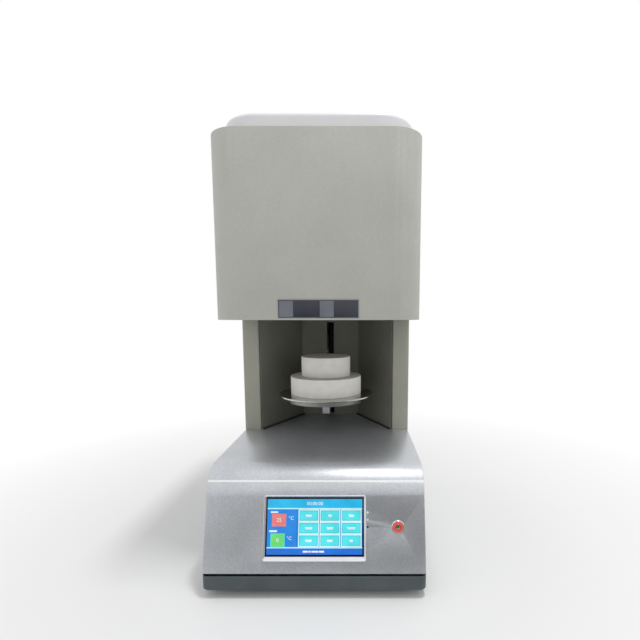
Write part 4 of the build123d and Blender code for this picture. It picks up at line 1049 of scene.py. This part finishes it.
ring_stand, ring_radius, ring_length = along_panel("button_ring")
cap_stand, cap_radius, cap_length = along_panel("button_cap")
bezel_stand, bezel_radius, bezel_length = along_panel("button_housing")
bezel_height = 0.0024
bezel_slope = 0.0012
barrel_radius = 0.0094
ring_gap = 0.00005
ring_seat_depth = 0.0044
mouth_width = 0.0004
mouth_depth = 0.0005
bore_gap = 0.0003
bore_depth = 0.0150
outline = [
    (0, -bezel_length),
    (barrel_radius, -bezel_length),
    (barrel_radius, -bezel_height),
    (bezel_radius, -bezel_height),
    (bezel_radius, -bezel_height * 0.5),
    (bezel_radius - bezel_slope, 0),
    (ring_radius + mouth_width, 0),
    (ring_radius + ring_gap, -mouth_depth),
    (ring_radius + ring_gap, -ring_seat_depth),
    (cap_radius + bore_gap, -ring_seat_depth),
    (cap_radius + bore_gap, -bore_depth),
    (0, -bore_depth),
]
button_bezel = turned("button_bezel", softened(outline, 0.0005), bezel_stand, sides=64)
fitted(button_bezel, "button_housing", polished_steel)
ring_edge = 0.0003
ring_outer_edge = 0.0002
outline = [
    (cap_radius + bore_gap, -ring_length),
    (ring_radius, -ring_length),
    (ring_radius, -ring_outer_edge),
    (ring_radius - ring_edge, 0),
    (cap_radius + bore_gap + ring_edge, 0),
    (cap_radius + bore_gap, -ring_edge),
    (cap_radius + bore_gap, -ring_length),
]
fitted(turned("button_ring_lens", outline, ring_stand, sides=64), "button_ring", ring_red)
face_rim = 0.0012
face_slope_width = 0.0010
face_slope_depth = 0.0005
face_dish = 0.0009
outline = [
    (0, -cap_length),
    (cap_radius, -cap_length),
    (cap_radius, 0),
    (cap_radius - face_rim, 0),
    (cap_radius - face_rim - face_slope_width, -face_slope_depth),
    (0, -face_dish),
]
button_face = turned("button_face", softened(outline, 0.0005), cap_stand, sides=64)
fitted(button_face, "button_cap", satin_steel)

# Trim plate on the housing's front: dark printed film with a thin silver border and two plain
# grey fields, stuck on flat.
film_dark = coated(
    "film_dark", light=(0.040, 0.044, 0.062), dark=(0.030, 0.033, 0.048),
    patch=0.03, grain=0.0008, relief=0.00001, roughness=0.35,
)
film_grey = coated(
    "film_grey", light=(0.17, 0.18, 0.21), dark=(0.14, 0.15, 0.18),
    patch=0.02, grain=0.0008, relief=0.00001, roughness=0.4,
)
film_border = coated(
    "film_border", light=(0.50, 0.51, 0.50), dark=(0.44, 0.45, 0.44),
    patch=0.02, grain=0.0008, relief=0.00001, roughness=0.35,
)
dressed("trim_plate", film_dark, edge=0.0002)
film_low, film_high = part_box("trim_plate")
film_thick = 0.00008


def film_fields(name, areas, finish):
    """Printed fields on the trim plate, their edges in millimetres from its lower left corner."""
    work = bmesh.new()
    for left, foot, right, head in areas:
        made = bmesh.ops.create_cube(work, size=1.0)["verts"]
        size = Matrix.Diagonal(((right - left) / 1000, film_thick, (head - foot) / 1000, 1.0))
        middle = (
            film_low[0] + (left + right) / 2000,
            film_low[1] - film_thick * 0.55,
            film_low[2] + (foot + head) / 2000,
        )
        bmesh.ops.transform(work, matrix=Matrix.Translation(middle) @ size, verts=made)
    piece = piece_of(name, work)
    piece.data.materials.append(finish)
    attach(piece, "root")


film_wide = (film_high[0] - film_low[0]) * 1000
film_tall = (film_high[2] - film_low[2]) * 1000
border_outer = 0.3
border_inner = 1.0
field_start = 2.5
field_end = 26.5
film_fields("film_border_lines", [
    (border_outer, border_outer, film_wide - border_outer, border_inner),
    (border_outer, film_tall - border_inner, film_wide - border_outer, film_tall - border_outer),
    (border_outer, border_inner, border_inner, film_tall - border_inner),
    (film_wide - border_inner, border_inner, film_wide - border_outer, film_tall - border_inner),
], film_border)
film_fields("film_grey_fields", [
    (field_start, field_start, field_end, film_tall - field_start),
    (film_wide / 2 + field_start, field_start, film_wide / 2 + field_end, film_tall - field_start),
], film_grey)

# Lift: ground guide rods, bearing blocks, bushings and a brass nut round the lead screw, whose
# thread is a square-cut helix between its two plain journals.
# The lead screw's oiled steel is made almost black, as painted shade for the dark slot it shows through.
oiled_and_shaded_steel = coated(
    "oiled_and_shaded_steel", light=(0.10, 0.10, 0.105), dark=(0.055, 0.055, 0.06),
    patch=0.01, grain=0.0006, relief=0.00001, roughness=0.4, metallic=0.9,
)
ground_steel = coated(
    "ground_steel", light=(0.62, 0.62, 0.63), dark=(0.54, 0.54, 0.55),
    patch=0.01, grain=0.0006, relief=0.000004, roughness=0.2, metallic=1.0,
)
nut_brass = coated(
    "nut_brass", light=(0.68, 0.48, 0.20), dark=(0.58, 0.40, 0.15),
    patch=0.008, grain=0.0006, relief=0.00001, roughness=0.3, metallic=1.0,
)
motor_black = coated(
    "motor_black", light=(0.06, 0.06, 0.065), dark=(0.04, 0.04, 0.045),
    patch=0.02, grain=0.001, relief=0.00005, roughness=0.45,
)
for ground_node in ("screw_bearings", "slide_bushings"):
    dressed(ground_node, ground_steel, edge=0.0005)
dressed("guide_rods", ground_steel, edge=0.0003)
dressed("lift_nut", nut_brass, edge=0.0005)
dressed("lift_motor", motor_black, edge=0.0008)
screw_low, screw_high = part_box("lead_screw")
screw_middle = ((screw_low[0] + screw_high[0]) / 2, (screw_low[1] + screw_high[1]) / 2)
screw_radius = (screw_high[0] - screw_low[0]) / 2
screw_verts = [vert.co for vert in nodes["lead_screw"].data.vertices]
screw_axis = Vector(screw_middle)
full = [v.z for v in screw_verts if (v.xy - screw_axis).length > 0.9 * screw_radius]
thread_foot = min(full)
thread_head = max(full)
thread_lead = 0.008
thread_starts = 4
thread_depth = 0.001
thread_end_gap = 0.001
ridge_share = 0.45


def screw_thread(name, core, crest, foot, head, lead, starts):
    """Thread ridges round a core, swept along a helix with geometry nodes."""
    tree, given, real = node_tree(name, {
        "Core Radius": "NodeSocketFloat",
        "Length": "NodeSocketFloat",
        "Turns": "NodeSocketFloat",
        "Ridge Width": "NodeSocketFloat",
        "Ridge Height": "NodeSocketFloat",
        "Finish": "NodeSocketMaterial",
    })
    helix = added(tree, "GeometryNodeCurveSpiral", {"Resolution": 20})
    ridge = added(tree, "GeometryNodeCurvePrimitiveQuadrilateral")
    sweep = added(tree, "GeometryNodeCurveToMesh", {"Fill Caps": True})
    wired(
        tree,
        (given, "Turns", helix, "Rotations"),
        (given, "Core Radius", helix, "Start Radius"),
        (given, "Core Radius", helix, "End Radius"),
        (given, "Length", helix, "Height"),
        (given, "Ridge Height", ridge, "Width"),
        (given, "Ridge Width", ridge, "Height"),
        (helix, "Curve", sweep, "Curve"),
        (ridge, "Curve", sweep, "Profile Curve"),
        (sweep, "Mesh", real, "Geometry"),
    )
    mesh = grown(name, tree, {
        "Core Radius": core,
        "Length": head - foot,
        "Turns": (head - foot) / lead,
        "Ridge Width": lead / starts * ridge_share,
        "Ridge Height": crest - core,
        "Finish": oiled_and_shaded_steel,
    })
    ridges = []
    for start in range(starts):
        copy = mesh.copy()
        turn = Matrix.Rotation(2 * pi * start / starts, 4, "Z")
        copy.transform(Matrix.Translation((*screw_middle, foot)) @ turn)
        ridges.append(bpy.data.objects.new(f"{name}_{start}", copy))
    return ridges


screw_core = screw_radius - thread_depth
journal_radius = 0.005
outline = [
    (0, screw_low[2]),
    (journal_radius, screw_low[2]),
    (journal_radius, thread_foot),
    (screw_core, thread_foot),
    (screw_core, thread_head),
    (journal_radius, thread_head),
    (journal_radius, screw_high[2]),
    (0, screw_high[2]),
]
core = turned("screw_core", softened(outline, 0.0005), Matrix.Translation((*screw_middle, 0)), sides=48)
ridge_root = screw_core + thread_depth * 0.35
ridge_crest = screw_radius + thread_depth * 0.1
ridges = screw_thread(
    "thread", ridge_root, ridge_crest,
    thread_foot + thread_end_gap, thread_head - thread_end_gap, thread_lead, thread_starts,
)
fitted(joined("threaded_screw", [core] + ridges), "lead_screw", oiled_and_shaded_steel)

# Heating elements: U-shaped silicide rods with a dark glazed skin, hung through the roof in
# white ceramic blocks, and the ceramic-sheathed thermocouple between them.
glazed_rod = coated(
    "glazed_rod", light=(0.16, 0.15, 0.15), dark=(0.09, 0.085, 0.085),
    patch=0.01, grain=0.001, relief=0.00003, roughness=0.35,
)
fired_ceramic = coated(
    "fired_ceramic", light=(0.82, 0.79, 0.73), dark=(0.75, 0.72, 0.66),
    patch=0.01, grain=0.0009, relief=0.00004, roughness=0.6,
)
dressed("heating_elements", glazed_rod, edge=0.0002, segments=1)
for ceramic_node in ("element_holders", "thermocouple"):
    dressed(ceramic_node, fired_ceramic, edge=0.0006)

# Electrical parts on the floor pan: transformer, supply in a plated steel case, relay on its
# aluminium heat sink, and the control board. They are hidden once the base cover is on.
core_dark = coated(
    "core_dark", light=(0.09, 0.08, 0.07), dark=(0.05, 0.045, 0.04),
    patch=0.01, grain=0.0007, relief=0.0001, roughness=0.6,
)
board_green = coated(
    "board_green", light=(0.03, 0.20, 0.09), dark=(0.02, 0.13, 0.06),
    patch=0.006, grain=0.0008, relief=0.00004, roughness=0.35,
)
moulded_black = coated(
    "moulded_black", light=(0.045, 0.045, 0.047), dark=(0.03, 0.03, 0.032),
    patch=0.02, grain=0.0007, relief=0.00004, roughness=0.5,
)
dressed("transformer", core_dark, edge=0.001)
dressed("power_supply", zinc_sheet, edge=0.0008)
dressed("heat_sink", satin_alloy, edge=0.0003)
dressed("control_board", board_green, edge=0.0003)
for black_node in ("power_relay", "display_module"):
    dressed(black_node, moulded_black, edge=0.0008)

# Rear: cooling fan, power inlet and rocker switch, all black mouldings. The fan's guard is a grid
# of plated steel bars.
for black_node in ("fan_frame", "fan_rotor", "mains_inlet", "switch_housing", "switch_rocker"):
    dressed(black_node, moulded_black, edge=0.0005)
dressed("fan_guard", ground_steel, edge=0.0004)

# Screws of the rear covers: plated hexagon heads on a flange, made once and set at every place
# with geometry nodes.
screw_boxes = lumps("rear_screws")
head_across = min(high.x - low.x for low, high in screw_boxes)
head_height = screw_boxes[0][1].y - screw_boxes[0][0].y
screw_tree, given, real = node_tree("cover_screw", {
    "Places": "NodeSocketGeometry",
    "Flange Radius": "NodeSocketFloat",
    "Head Radius": "NodeSocketFloat",
    "Head Height": "NodeSocketFloat",
    "Finish": "NodeSocketMaterial",
})
flange_depth = head_height * 0.35
flange_narrowing = 0.86
head_share = 0.82
head = added(screw_tree, "GeometryNodeMeshCylinder", {"Vertices": 6})
flange = added(screw_tree, "GeometryNodeMeshCone", {"Vertices": 24, "Depth": flange_depth})
top = added(screw_tree, "ShaderNodeMath", {1: flange_narrowing}, operation="MULTIPLY")
both = added(screw_tree, "GeometryNodeJoinGeometry")
lay = added(screw_tree, "GeometryNodeTransform", {"Rotation": (-pi / 2, 0.0, 0.0)})
raise_head = added(screw_tree, "GeometryNodeTransform", {"Translation": (0.0, 0.0, head_height / 2)})
spread = added(screw_tree, "GeometryNodeInstanceOnPoints")
wired(
    screw_tree,
    (given, "Head Radius", head, "Radius"),
    (given, "Head Height", head, "Depth"),
    (given, "Flange Radius", flange, "Radius Bottom"),
    (given, "Flange Radius", top, 0),
    (top, 0, flange, "Radius Top"),
    (head, "Mesh", raise_head, "Geometry"),
    (raise_head, "Geometry", both, "Geometry"),
    (flange, "Mesh", both, "Geometry"),
    (both, "Geometry", lay, "Geometry"),
    (given, "Places", spread, "Points"),
    (lay, "Geometry", spread, "Instance"),
    (spread, "Instances", real, "Geometry"),
)
places = bpy.data.meshes.new("screw_places")
seats = [((low.x + high.x) / 2, low.y, (low.z + high.z) / 2) for low, high in screw_boxes]
places.from_pydata(seats, [], [])
screw_mesh = grown("cover_screws", screw_tree, {
    "Flange Radius": head_across / 2,
    "Head Radius": head_across / 2 * head_share,
    "Head Height": head_height,
    "Finish": ground_steel,
}, places)
cover_screws = placed("cover_screws", screw_mesh)
fitted(cover_screws, "rear_screws", ground_steel)
